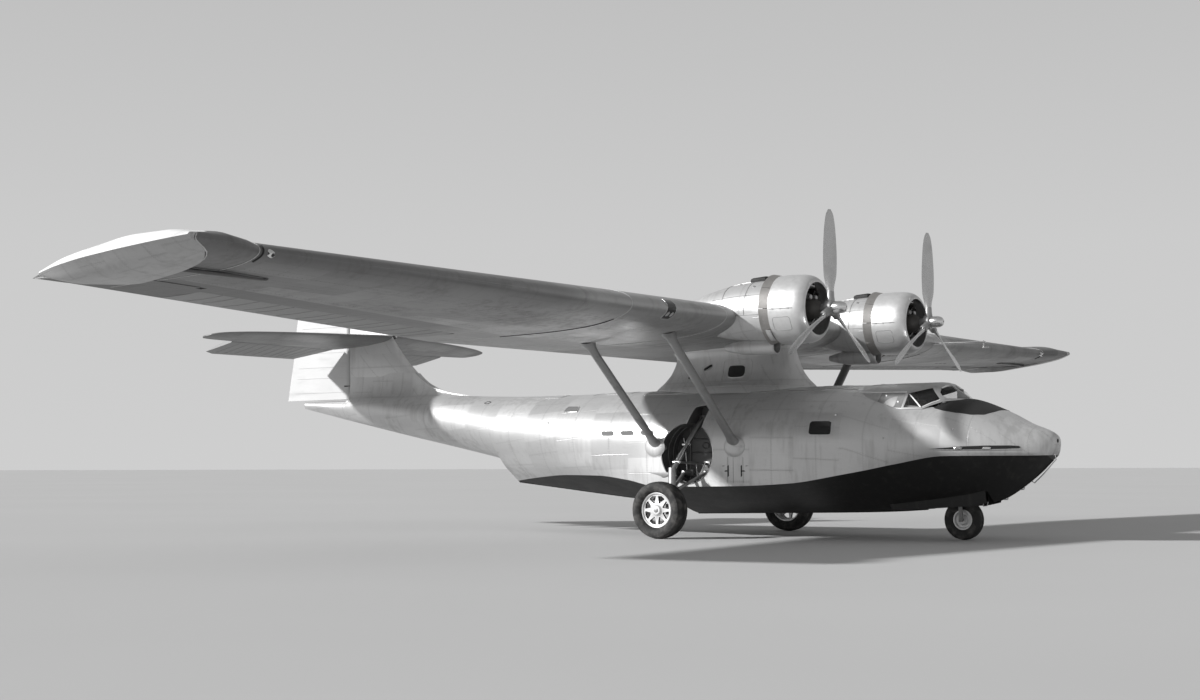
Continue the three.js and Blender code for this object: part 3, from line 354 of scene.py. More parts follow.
@dataclass(frozen=True)
class SheetMetal(Finish):
    """Riveted bare sheet metal: seams, rivets, patches of tone, streaks and dirt.

    Seams follow the piece's own surface coordinates. On the wing, cloth begins aft of rear_cloth,
    and outside a given span the colour darkens as painted shade, both in metres.
    """

    name: str
    tone: float = 0.56
    metal: float = 0.55
    rough: float = 0.42
    panel: tuple[float, float] = (0.62, 0.95)
    rivet: float = 0.05
    patch: float = 0.1
    dirt: float = 0.25
    soot: bool = False
    rear_cloth: float = 0.0
    painted_shade_from: float = 0.0

    def make(self, bench: Bench) -> bpy.types.Material:
        """Builds the nodes.

        Args:
            bench: Bench that the nodes are put on.

        Returns:
            The material.
        """
        place = bench.place()
        x, y, _ = bench.axes(place)
        girth, along = bench.along_skin()
        wide, long = self.panel
        strip = bench.math("FLOOR", along / long + 0.5)
        stagger = bench.math("FRACT", strip * 0.37) * wide
        across, down = along.fold(long), girth.fold(wide, stagger)
        seam = bench.math("MAXIMUM", across.step(0.006, 0.0), down.step(0.005, 0.0))
        lap = bench.math("MAXIMUM", across.step(0.03, 0.0), down.step(0.026, 0.0))
        row = self.dots(bench, across, girth, down, along)
        cell = bench.node("ShaderNodeCombineXYZ",
                          values={0: bench.math("FLOOR", (girth + stagger) / wide + 0.5), 1: strip, 2: 0.0})
        plate = bench.node("ShaderNodeTexWhiteNoise", {"noise_dimensions": "3D"}, {"Vector": cell})
        cloud = bench.noise(place, 0.9, 5.0)
        streak = bench.noise(bench.stretched(place, (5.0, 5.0, 0.7)), 1.6, 4.0)
        speck = bench.noise(place, 34.0, 2.0)
        shade = 1 + self.patch * (plate - 0.5) + 0.16 * (cloud - 0.5)
        shade = shade + 0.1 * (streak - 0.5) + 0.05 * (speck - 0.5)
        shade = shade * (1 - 0.04 * lap) * (1 - 0.22 * seam) * (1 - 0.22 * row)
        # Painted shade: the colour darkens outwards along the span, towards the tips.
        if self.painted_shade_from:
            out = abs(y)
            near, far = self.painted_shade_from + 1.1, self.painted_shade_from + 7.0
            shade = shade * (1 - 0.36 * out.step(self.painted_shade_from, near) - 0.2 * out.step(near, far))
        grime = (streak * cloud).step(0.22, 0.42) * self.dirt
        if self.soot:
            behind = x.step(5.0, 3.6)
            lanes = abs(abs(y) - ENGINE_OUT).step(1.0, 0.1)
            wisps = bench.noise(bench.stretched(place, (0.5, 4.0, 1.0)), 1.3).step(0.3, 0.7)
            grime = grime + behind * lanes * wisps * 0.4
        colour = bench.blend(bench.math("MINIMUM", grime, 1.0), bench.tint(self.tone, shade),
                             grey(0.12, 0.03))
        rough = self.rough + 0.25 * (cloud - 0.5) + 0.15 * (plate - 0.5) + 0.25 * grime
        height = row * 0.5 - seam * 0.5 + 1.1 * bench.noise(place, 2.2, 1.0) + 0.12 * speck
        metal: Any = self.metal
        if self.rear_cloth:
            edge = bench.math("MAXIMUM", abs(y), CENTRE_HALF) * 0.037 + self.rear_cloth
            cloth = (x - edge).step(0.01, -0.01)
            rib = y.fold(0.36).step(0.03, 0.0) * cloth
            height = height * (1 - cloth) + rib * 0.7
            metal = self.metal - (self.metal - 0.15) * cloth
            rough = rough * (1 - cloth) + 0.6 * cloth
        return bench.finish({"Specular IOR Level": 0.5}, colour, rough, height, 0.0035, metal)

    def dots(self, bench: Bench, across: Wire, girth: Wire, down: Wire, along: Wire) -> Wire:
        """Rivet heads in rows beside both kinds of seam.

        Args:
            bench: The node tree.
            across: Distance from the seams that run round the piece.
            girth: Distance round it.
            down: Distance from the seams that run along it.
            along: Distance along it.

        Returns:
            1 on a head, 0 elsewhere.
        """
        rows = []
        for gap, inset, run in ((across, 0.02, girth), (down, 0.018, along)):
            squares = (gap - inset) * (gap - inset) + bench.math("POWER", run.fold(self.rivet), 2.0)
            rows.append(bench.math("SQRT", squares))
        return bench.math("MINIMUM", *rows).step(0.0075, 0.004)


@dataclass(frozen=True)
class PlainMetal(Finish):
    """Worked metal without seams: cast, forged, drawn or polished."""

    name: str
    tone: float = 0.5
    metal: float = 0.8
    rough: float = 0.35
    grain: float = 60.0
    dirt: float = 0.3
    warm: float = 0.0

    def make(self, bench: Bench) -> bpy.types.Material:
        """Builds the nodes.

        Args:
            bench: Bench that the nodes are put on.

        Returns:
            The material.
        """
        place = bench.place()
        fine = bench.noise(place, self.grain, 4.0)
        broad = bench.noise(place, 3.1, 4.0)
        stain = broad.step(0.5, 0.72) * self.dirt
        colour = bench.blend(stain, bench.tint(self.tone, 0.9 + 0.2 * fine, self.warm), grey(0.05, 0.06))
        rough = self.rough + 0.18 * (fine - 0.5) + 0.2 * (broad - 0.5) + 0.25 * stain
        return bench.finish({}, colour, rough, fine, 0.0004, self.metal)


@dataclass(frozen=True)
class BottomPaint(Finish):
    """Matt black bottom paint, scuffed along the keel and with dried water marks."""

    name: str = "bottom_paint"

    def make(self, bench: Bench) -> bpy.types.Material:
        """Builds the nodes.

        Args:
            bench: Bench that the nodes are put on.

        Returns:
            The material.
        """
        place = bench.place()
        _, along = bench.along_skin()
        z = bench.axes(place)[2]
        cloud = bench.noise(place, 1.2, 5.0)
        streak = bench.noise(bench.stretched(place, (6.0, 6.0, 0.8)), 1.5, 4.0)
        chip = bench.noise(place, 26.0, 4.0, 0.7).step(0.66, 0.72) * z.step(1.0, 0.45)
        mark = streak.step(0.5, 0.8) * 0.5
        seam = along.fold(1.15).step(0.006, 0.0)
        colour = bench.blend(mark, bench.blend(cloud, grey(0.010), grey(0.022)), grey(0.05, 0.05))
        colour = bench.blend(chip * 0.7, colour, grey(0.25))
        rough = 0.55 + 0.3 * (cloud - 0.5)
        height = chip * -0.4 - seam * 0.6 + 0.6 * bench.noise(place, 2.5, 1.0)
        height = height + 0.1 * bench.noise(place, 60.0)
        return bench.finish({"Specular IOR Level": 0.35}, colour, rough, height, 0.003)


@dataclass(frozen=True)
class DopedCloth(Finish):
    """Silver-doped fabric drawn over ribs: weave, tape edges and soft stains."""

    name: str = "doped_cloth"
    tone: float = 0.5

    def make(self, bench: Bench) -> bpy.types.Material:
        """Builds the nodes.

        Args:
            bench: Bench that the nodes are put on.

        Returns:
            The material.
        """
        place = bench.place()
        weave = bench.noise(bench.stretched(place, (1.0, 3.0, 3.0)), 180.0, 1.0)
        cloud = bench.noise(place, 1.4, 5.0)
        stain = bench.noise(bench.stretched(place, (0.6, 3.0, 3.0)), 1.5).step(0.5, 0.8) * 0.25
        colour = bench.blend(stain, bench.tint(self.tone, 0.92 + 0.16 * cloud), grey(0.18))
        return bench.finish({}, colour, 0.52 + 0.2 * (cloud - 0.5), weave, 0.0006, 0.25)


@dataclass(frozen=True)
class Rubber(Finish):
    """Worn tyre rubber with dust in its pores."""

    name: str = "tyre_rubber"

    def make(self, bench: Bench) -> bpy.types.Material:
        """Builds the nodes.

        Args:
            bench: Bench that the nodes are put on.

        Returns:
            The material.
        """
        place = bench.place()
        dust = bench.noise(place, 7.0, 5.0).step(0.4, 0.75)
        pore = bench.noise(place, 240.0, 2.0)
        colour = bench.blend(dust * 0.6, grey(0.028), grey(0.15, 0.04))
        return bench.finish({"Specular IOR Level": 0.3}, colour, 0.78 + 0.15 * (dust - 0.5), pore, 0.0008)


@dataclass(frozen=True)
class Hide(Finish):
    """Worn seat leather with a fine grain."""

    name: str = "seat_hide"

    def make(self, bench: Bench) -> bpy.types.Material:
        """Builds the nodes.

        Args:
            bench: Bench that the nodes are put on.

        Returns:
            The material.
        """
        place = bench.place()
        grain = bench.node("ShaderNodeTexVoronoi", {"feature": "DISTANCE_TO_EDGE"},
                           {"Vector": place, "Scale": 220.0})
        wear = bench.noise(place, 9.0, 4.0).step(0.45, 0.7)
        colour = bench.blend(wear * 0.6, grey(0.045, 0.25), grey(0.12, 0.2))
        return bench.finish({}, colour, 0.5 + 0.2 * wear, grain.step(0.0, 0.08), 0.0005)


@dataclass(frozen=True)
class Glass(Finish):
    """Window glass: clear for the cockpit; opaque and nearly black where it stands for the unlit space
    behind, as painted shade.
    """

    name: str = "clear_glass"
    tone: float = 0.1
    clear: float = 0.94

    def make(self, bench: Bench) -> bpy.types.Material:
        """Builds the nodes.

        Args:
            bench: Bench that the nodes are put on.

        Returns:
            The material.
        """
        haze = bench.noise(bench.place(), 6.0, 4.0)
        colour = bench.blend(haze, grey(self.tone * 0.9), grey(self.tone))
        alpha = 1 - self.clear * (0.92 + 0.08 * haze)
        shader = bench.finish({"Specular IOR Level": 0.6, "IOR": 1.5}, colour, 0.06 + 0.08 * haze)
        principled = next(n for n in bench.nodes if n.type == "BSDF_PRINCIPLED")
        bench.links.new(alpha.socket, principled.inputs["Alpha"])
        return shader


SILVER = SheetMetal("silver_skin")
# Wing skin: its tone, lower than the hull's, and its darkening towards the tips are painted shade on the
# wing's underside.
WING_SKIN = SheetMetal("wing_skin", tone=0.38, panel=(0.52, 1.22), soot=True, dirt=0.3, rear_cloth=1.6,
                       painted_shade_from=6.9)
# Float shell: a lighter finish on every upward face and a darker one on the rest, painted sunlit top and
# shaded underside.
FLOAT_SKIN = SheetMetal("float_skin", tone=0.42, metal=0.45, panel=(0.42, 0.56), rivet=0.042, dirt=0.2)
FLOAT_TOP_PAINTED_LIGHT = SheetMetal("float_top_painted_light", tone=0.86, metal=0.05, rough=0.35, panel=(0.42, 0.56),
                   rivet=0.042, dirt=0.08)
# Tailplane skin: its low tone is painted shade on the tailplane's underside.
TAILPLANE_SHADE_PAINTED_SKIN = SheetMetal("tail_skin", tone=0.21, panel=(0.5, 0.62), patch=0.06)
# Opaque grey pane for the small waist lights: painted shade of the cabin behind.
SHADE_PAINTED_PANE = PlainMetal("grey_pane", 0.14, 0.0, 0.75, 20.0, 0.1)
FAIR_SKIN = SheetMetal("fairing_skin", tone=0.55, panel=(0.7, 0.62), patch=0.06)
COWL_SKIN = PlainMetal("cowl_metal", 0.6, 0.6, 0.42, 14.0, 0.1)
DARK_SKIN = PlainMetal("strut_metal", 0.27, 0.6, 0.45, 20.0, 0.3)
# Cowl flaps: their dark tone is painted shade under the cowl lip.
FLAP_SHADE_PAINTED_SKIN = PlainMetal("flap_metal_painted_shade", 0.3, 0.7, 0.5, 16.0, 0.35, 0.03)
BLACK = BottomPaint()
CLOTH = DopedCloth()
# Darker cloth for ailerons and elevators: its low tone is painted shade on their undersides.
SHADE_PAINTED_CLOTH = DopedCloth("doped_cloth_painted_shade", 0.27)
RUBBER = Rubber()
CAST = PlainMetal("cast_wheel", 0.66, 0.35, 0.38, 40.0, 0.2)
STEEL = PlainMetal("gear_steel", 0.34, 0.75, 0.38, 30.0, 0.4)
BRIGHT = PlainMetal("bright_steel", 0.75, 0.95, 0.16, 90.0, 0.05)
IRON = PlainMetal("engine_iron", 0.07, 0.5, 0.5, 50.0, 0.5, 0.05)
PROP = PlainMetal("blade_metal", 0.5, 0.9, 0.28, 30.0, 0.1)
DOME = PlainMetal("dome_metal", 0.72, 0.95, 0.16, 30.0, 0.05)
# Near-black for faces inside openings, coves, notches and holes: painted shade.
PAINTED_HOLLOW_SHADE = PlainMetal("hollow_painted_shade", 0.035, 0.2, 0.65, 18.0, 0.2)
LINING = PlainMetal("well_lining", 0.12, 0.45, 0.5, 14.0, 0.4)
# Matt black for the anti-glare panel and marks; in the engine duct's mouth and the bow rail slot it is
# painted shade.
MATT_BLACK_AND_PAINTED_SHADE = PlainMetal("anti_glare_black_and_painted_shade", 0.012, 0.0, 0.7, 30.0, 0.0)
PANEL = PlainMetal("panel_black", 0.02, 0.0, 0.5, 160.0, 0.1)
# Light bar finish; on the engine's front duct ring it is painted light.
BARS_AND_PAINTED_DUCT_LIGHT = PlainMetal("bar_metal_and_painted_duct_light", 0.8, 0.3, 0.4, 40.0, 0.05)
HIDE = Hide()
CLEAR = Glass()
# Opaque near-black glass: painted shade of the unlit cabin, pylon and lamp housings behind.
SHADE_PAINTED_GLASS = Glass("cabin_glass", 0.015, 0.0)


# Meshes


def normal_basis(axis: Point) -> tuple[np.ndarray, np.ndarray, np.ndarray]:
    """Unit axis and two directions square to it.

    Args:
        axis: Any vector.

    Returns:
        The three unit vectors.
    """
    a = np.asarray(axis, float) / np.linalg.norm(axis)
    helper = np.array([0, 0, 1.0]) if abs(a[2]) < 0.9 else np.array([1.0, 0, 0])
    b = np.cross(helper, a)
    b /= np.linalg.norm(b)
    return a, b, np.cross(a, b)


class Draft:
    """A mesh being drawn up: points, faces, surface coordinates and finish numbers."""

    def __init__(self) -> None:
        """Starts empty."""
        self.points: list[np.ndarray] = []
        self.coords: list[np.ndarray] = []
        self.faces: list[tuple[int, ...]] = []
        self.slots: list[int] = []
        self.count = 0

    def add(self, points: Any, faces: Iterable[Sequence[int]], coords: Any = None, slot: int = 0) -> "Draft":
        """Adds points and faces.

        Args:
            points: Points in metres from the main axle.
            faces: Point numbers of each face.
            coords: Surface coordinates of each point.
            slot: Number of the finish.

        Returns:
            The draft itself.
        """
        points = np.asarray(points, float).reshape(-1, 3)
        before = len(self.faces)
        self.faces += [tuple(int(i) + self.count for i in f) for f in faces]
        self.slots += [slot] * (len(self.faces) - before)
        self.points.append(points)
        self.coords.append(np.zeros((len(points), 2))
                           if coords is None else np.asarray(coords, float).reshape(-1, 2))
        self.count += len(points)
        return self

    def loft(self, rings: Any, fold: int = 0, along: Sequence[float] | None = None, slot: int = 0,
             caps: bool = True, closed: bool = True) -> "Draft":
        """Joins rings of points into a skin.

        Args:
            rings: Rings of equal point count.
            fold: Ring point from which the girth is measured both ways.
            along: Lengthwise coordinate of each ring.
            slot: Number of the finish.
            caps: Whether the ends are closed.
            closed: Whether each ring closes on itself.

        Returns:
            The draft itself.
        """
        rings = np.asarray(rings, float)
        n, m = rings.shape[:2]
        step = np.linalg.norm(np.roll(rings, -1, 1) - rings, axis=2)
        run = np.concatenate([np.zeros((n, 1)), np.cumsum(step, 1)], 1)
        away = np.abs(run[:, :m] - run[:, fold:fold + 1])
        girth = np.minimum(away, run[:, m:] - away) if closed else away
        if along is None:
            middle = rings.mean(1)
            along = np.concatenate([[0], np.cumsum(np.linalg.norm(np.diff(middle, axis=0), axis=1))])
        coords = np.stack([girth, np.repeat(np.asarray(along, float)[:, None], m, 1)], 2)
        wraps = m if closed else m - 1
        faces: list[tuple[int, ...]] = [(r * m + i, r * m + (i + 1) % m, (r + 1) * m + (i + 1) % m,
                                         (r + 1) * m + i) for r in range(n - 1) for i in range(wraps)]
        if caps and closed:
            faces += [tuple(range(m - 1, -1, -1)), tuple(range((n - 1) * m, n * m))]
        return self.add(rings, faces, coords, slot)

    def lathe(self, profile: Outline, at: Point, axis: Point = (1, 0, 0), sides: int = 48, slot: int = 0,
              sweep: tuple[float, float] | None = None) -> "Draft":
        """Turns a profile about an axis.

        Args:
            profile: Distances along the axis and radii.
            at: Point on the axis.
            axis: Direction of the axis.
            sides: Number of steps round it.
            slot: Number of the finish.
            sweep: Start and end angle in degrees, for a part turn of a closed profile.

        Returns:
            The draft itself.
        """
        a, b, c = normal_basis(axis)
        angles = np.radians(np.linspace(*sweep, sides + 1)) if sweep else np.arange(sides) * TURN / sides
        rings = np.array([[np.asarray(at) + a * s + (b * sin(t) + c * cos(t)) * r for t in angles]
                          for s, r in profile])
        return self.loft(rings.swapaxes(0, 1) if sweep else rings, caps=bool(sweep), slot=slot)

    def tube(self, path: Sequence[Point], radius: float | Sequence[float], sides: int = 8, slot: int = 0,
             closed: bool = False) -> "Draft":
        """Runs a round tube along a path.

        Args:
            path: Points on its centre line.
            radius: One radius, or one for each point.
            sides: Number of sides.
            slot: Number of the finish.
            closed: Whether the path closes on itself.

        Returns:
            The draft itself.
        """
        line = np.asarray(path, float)
        ahead = np.roll(line, -1, 0) - np.roll(line, 1, 0)
        if not closed:
            ahead[0], ahead[-1] = line[1] - line[0], line[-1] - line[-2]
        radii = np.full(len(line), radius) if np.isscalar(radius) else np.asarray(radius, float)
        _, b, _ = normal_basis(ahead[0])
        rings = []
        for p, d, r in zip(line, ahead, radii):
            d = d / np.linalg.norm(d)
            b = b - d * (b @ d)
            b /= np.linalg.norm(b)
            c = np.cross(d, b)
            rings.append([p + r * (b * u + c * v) for u, v in oval(0, 0, 1, 1, sides)])
        if closed:
            rings.append(rings[0])
        return self.loft(rings, slot=slot, caps=not closed)

    def prism(self, outline: Outline, low: float, high: float, slot: int = 0) -> "Draft":
        """Extrudes an outline in x and z between two values of y."""
        return self.loft([[(a, w, b) for a, b in outline] for w in (low, high)], slot=slot)

    def block(self, low: Point, high: Point, slot: int = 0) -> "Draft":
        """Adds a rectangular block between two corners."""
        (x0, y0, z0), (x1, y1, z1) = low, high
        return self.prism(oblong(x0, z0, x1, z1), y0, y1, slot)

    def patch(self, outline: Outline, on: Surface, plan: Outline = ((1, -0.012), (1, 0.003)), slot: int = 0,
              middle: tuple[float, float] | None = None, rings: int = 5, step: float = 0.04) -> "Draft":
        """Lays a thin closed plate on a surface.

        Args:
            outline: Corners in the surface's two coordinates.
            on: Gives a point from two coordinates and a height above the surface.
            plan: Share of the outline and height of each ring of the rim, from below.
            slot: Number of the finish.
            middle: Point towards which the rings shrink.
            rings: Rings on the flat of the plate.
            step: Distance between points of the rim, in surface coordinates.

        Returns:
            The draft itself.
        """
        edge = trace(outline, step, closed=True)
        centre = np.asarray(middle if middle else edge.mean(0))
        low, high = plan[0][1], plan[-1][1]
        top = [(plan[-1][0] * a, high) for a in np.linspace(1, 0, rings + 1)[1:]]
        rows = [[on(*(centre + (p - centre) * a), h) for p in edge] for a, h in [(0, low), *plan, *top]]
        return self.loft(rows, caps=False, slot=slot)

    def bead(self, line: Outline, on: Surface, radius: float, slot: int = 0) -> "Draft":
        """Runs a bead along an open line on a surface."""
        return self.tube([on(u, v, 0.0) for u, v in trace(line)], radius, 6, slot)

    def rim(self, outline: Outline, on: Surface, radius: float, slot: int = 0, out: float = 0.0) -> "Draft":
        """Runs a bead round a closed outline on a surface."""
        return self.tube([on(u, v, out) for u, v in trace(outline, closed=True)], radius, 6, slot, True)

    def tapes(self, ring: Sequence[Point], radius: float) -> "Draft":
        """Runs a rib tape over and under a section from moving_section."""
        return self.tube(ring[1:10], radius, 5).tube(ring[19:28], radius, 5)

    def pillow(self, middle: Point, long: Point, wide: Point, thick: Point) -> "Draft":
        """Adds a crowned cushion whose sides pull in between its corners.

        Args:
            middle: Centre of the cushion.
            long: Half of its length.
            wide: Half of its width.
            thick: Half of its thickness.

        Returns:
            The draft itself.
        """
        angles = np.arange(72) * pi / 36
        waist = 1 - 0.05 * np.cos(2 * angles) ** 2
        u, v = (np.sign(w) * np.abs(w) ** 0.42 * waist for w in (np.cos(angles), np.sin(angles)))
        a, b, c, m = (np.asarray(k, float) for k in (long, wide, thick, middle))
        rows = []
        for sign, shares in ((-1, np.linspace(0, 1, 12)), (1, np.linspace(1, 0, 12)[1:])):
            for s in shares:
                dent = sum(np.exp(-((v * s - k) / 0.07) ** 2) for k in (-0.4, 0.0, 0.4))
                high = sign * sqrt(1 - s ** 4) * (1 - 0.3 * dent)
                rows.append(m + np.outer(u * s, a) + np.outer(v * s, b) + np.outer(high, c))
        self.loft(rows, caps=False)
        return self.tube(rows[11], 0.005, 6, closed=True)

    def on(self, sign: int) -> "Draft":
        """The same draft on one side of the aircraft.

        Args:
            sign: 1 for port, where it was drawn, and -1 for starboard.

        Returns:
            The draft itself, or its mirror image.
        """
        if sign > 0:
            return self
        made = Draft()
        made.points = [p * [1, -1, 1] for p in self.points]
        made.coords, made.slots, made.count = self.coords, self.slots, self.count
        made.faces = [tuple(reversed(f)) for f in self.faces]
        return made

    def build(self, name: str, *finishes: Finish, sharp: float = 34.0) -> bpy.types.Object:
        """Makes the object.

        Args:
            name: Name of the piece.
            finishes: Its finishes in slot order.
            sharp: Edges bent by more than this many degrees stay crisp.

        Returns:
            The object, at the origin.
        """
        mesh = bpy.data.meshes.new(name)
        mesh.from_pydata((np.concatenate(self.points) + SHIFT).tolist(), [], self.faces)
        corners = np.zeros(len(mesh.loops), int)
        mesh.loops.foreach_get("vertex_index", corners)
        mesh.uv_layers.new(name="skin").data.foreach_set("uv", np.concatenate(self.coords)[corners].ravel())
        for finish in finishes:
            mesh.materials.append(finish.material())
        mesh.polygons.foreach_set("material_index", self.slots)
        return crisp(shown(name, mesh), sharp)

    def fit(self, name: str, slot: str, *finishes: Finish, node: str = "", body: str = "airframe",
            sharp: float = 34.0) -> bpy.types.Object:
        """Makes the piece and fixes it to its body.

        Args:
            name: Name of the piece.
            slot: The record's material slot.
            finishes: Its finishes in slot order.
            node: CAD node that it stands for, if any.
            body: CAD body that it rides on.
            sharp: Edges bent by more than this many degrees stay crisp.

        Returns:
            The piece.
        """
        return mount(self.build(name, *finishes, sharp=sharp), body, slot, *([node] if node else []))

    def fit_pair(self, name: str, slot: str, *finishes: Finish, node: str = "",
                 body: str = "airframe") -> None:
        """Fits the draft on both sides; {} in a name stands for the side."""
        for side, sign in SIDES:
            self.on(sign).fit(name.format(side), slot, *finishes, node=node.format(side),
                              body=body.format(side))


def shown(name: str, data: bpy.types.ID) -> bpy.types.Object:
    """Adds an object to the scene."""
    made = bpy.data.objects.new(name, data)
    bpy.context.scene.collection.objects.link(made)
    return made


def crisp(piece: bpy.types.Object, sharp: float = 34.0, merge: float = 1e-5) -> bpy.types.Object:
    """Merges points, turns faces outwards and shades smoothly between sharp edges.

    Args:
        piece: The object.
        sharp: Edges bent by more than this many degrees stay crisp.
        merge: Points closer than this are joined.

    Returns:
        The same object.
    """
    work = bmesh.new()
    work.from_mesh(piece.data)
    bmesh.ops.remove_doubles(work, verts=work.verts, dist=merge)
    bmesh.ops.dissolve_degenerate(work, edges=work.edges, dist=merge)
    bmesh.ops.recalc_face_normals(work, faces=work.faces)
    limit = radians(sharp)
    for face in work.faces:
        face.smooth = True
    for edge in work.edges:
        edge.smooth = len(edge.link_faces) == 2 and edge.calc_face_angle(0.0) < limit
    work.to_mesh(piece.data)
    work.free()
    return piece


def settle(piece: bpy.types.Object) -> bpy.types.Object:
    """Turns the result of the modifiers into the piece's own mesh.

    Args:
        piece: The piece.

    Returns:
        The same piece, without modifiers.
    """
    graph = bpy.context.evaluated_depsgraph_get()
    mesh = bpy.data.meshes.new_from_object(piece.evaluated_get(graph), preserve_all_data_layers=True,
                                           depsgraph=graph)
    piece.modifiers.clear()
    piece.data = mesh
    return piece


def carve(piece: bpy.types.Object, tool: Draft, finish: Finish) -> bpy.types.Object:
    """Cuts a drafted tool out of a piece.

    Args:
        piece: The piece that is cut.
        tool: The shape that is taken away.
        finish: Finish that the new faces take.

    Returns:
        The same piece.
    """
    cutter = tool.build("cutter", finish)
    cut = piece.modifiers.new("cut", "BOOLEAN")
    cut.operation, cut.solver, cut.object, cut.material_mode = "DIFFERENCE", "EXACT", cutter, "TRANSFER"
    settle(piece)
    bpy.data.objects.remove(cutter)
    return crisp(piece)


def soften(piece: bpy.types.Object, width: float) -> bpy.types.Object:
    """Rounds the edges of a piece.

    Args:
        piece: The piece.
        width: Width of the rounding in metres.

    Returns:
        The same piece.
    """
    bevel = piece.modifiers.new("soften", "BEVEL")
    bevel.width, bevel.segments, bevel.limit_method = width, 2, "ANGLE"
    bevel.angle_limit, bevel.use_clamp_overlap = radians(35.0), True
    return crisp(settle(piece), 40.0)


def retrace(node: str, name: str, finish: Finish, soft: float = 0.0,
            sharp: float = 34.0) -> bpy.types.Object:
    """Copies a CAD solid as a merged, smoothly shaded mesh with rounded edges.

    Args:
        node: CAD node.
        name: Name of the new piece.
        finish: Its finish.
        soft: Width of the rounding in metres.
        sharp: Edges bent by more than this many degrees stay crisp.

    Returns:
        The new piece.
    """
    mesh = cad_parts[node].data.copy()
    mesh.name = name
    mesh.materials.clear()
    mesh.materials.append(finish.material())
    made = shown(name, mesh)
    work = bmesh.new()
    work.from_mesh(mesh)
    bmesh.ops.remove_doubles(work, verts=work.verts, dist=1e-4)
    bmesh.ops.dissolve_limit(work, angle_limit=radians(0.8), verts=work.verts, edges=work.edges)
    for face in work.faces:
        face.material_index = 0
    work.to_mesh(mesh)
    work.free()
    return soften(crisp(made, sharp), soft) if soft else crisp(made, sharp)


def rims_of(piece: bpy.types.Object) -> list[np.ndarray]:
    """Closed lines round the sharp edges of a thin pane.

    Args:
        piece: The pane.

    Returns:
        Points of each line, in metres from the main axle.
    """
    work = bmesh.new()
    work.from_mesh(piece.data)
    beside: dict[int, list[int]] = {}
    for edge in work.edges:
        if len(edge.link_faces) == 2 and edge.calc_face_angle(0.0) > radians(50):
            a, b = (v.index for v in edge.verts)
            beside.setdefault(a, []).append(b)
            beside.setdefault(b, []).append(a)
    places = np.array([v.co for v in work.verts]) - SHIFT
    work.free()
    loops, left = [], {k for k, v in beside.items() if len(v) == 2}
    while left:
        loop = [left.pop()]
        while True:
            ahead = [k for k in beside[loop[-1]] if k in left]
            if not ahead:
                break
            loop.append(ahead[0])
            left.discard(ahead[0])
        if len(loop) > 3:
            loops.append(places[loop])
    return loops


# Rows of small parts, made by Geometry Nodes


class Head(Enum):
    """What a row repeats."""

    DOME = "dome"
    DISC = "disc"
    BLOCK = "block"


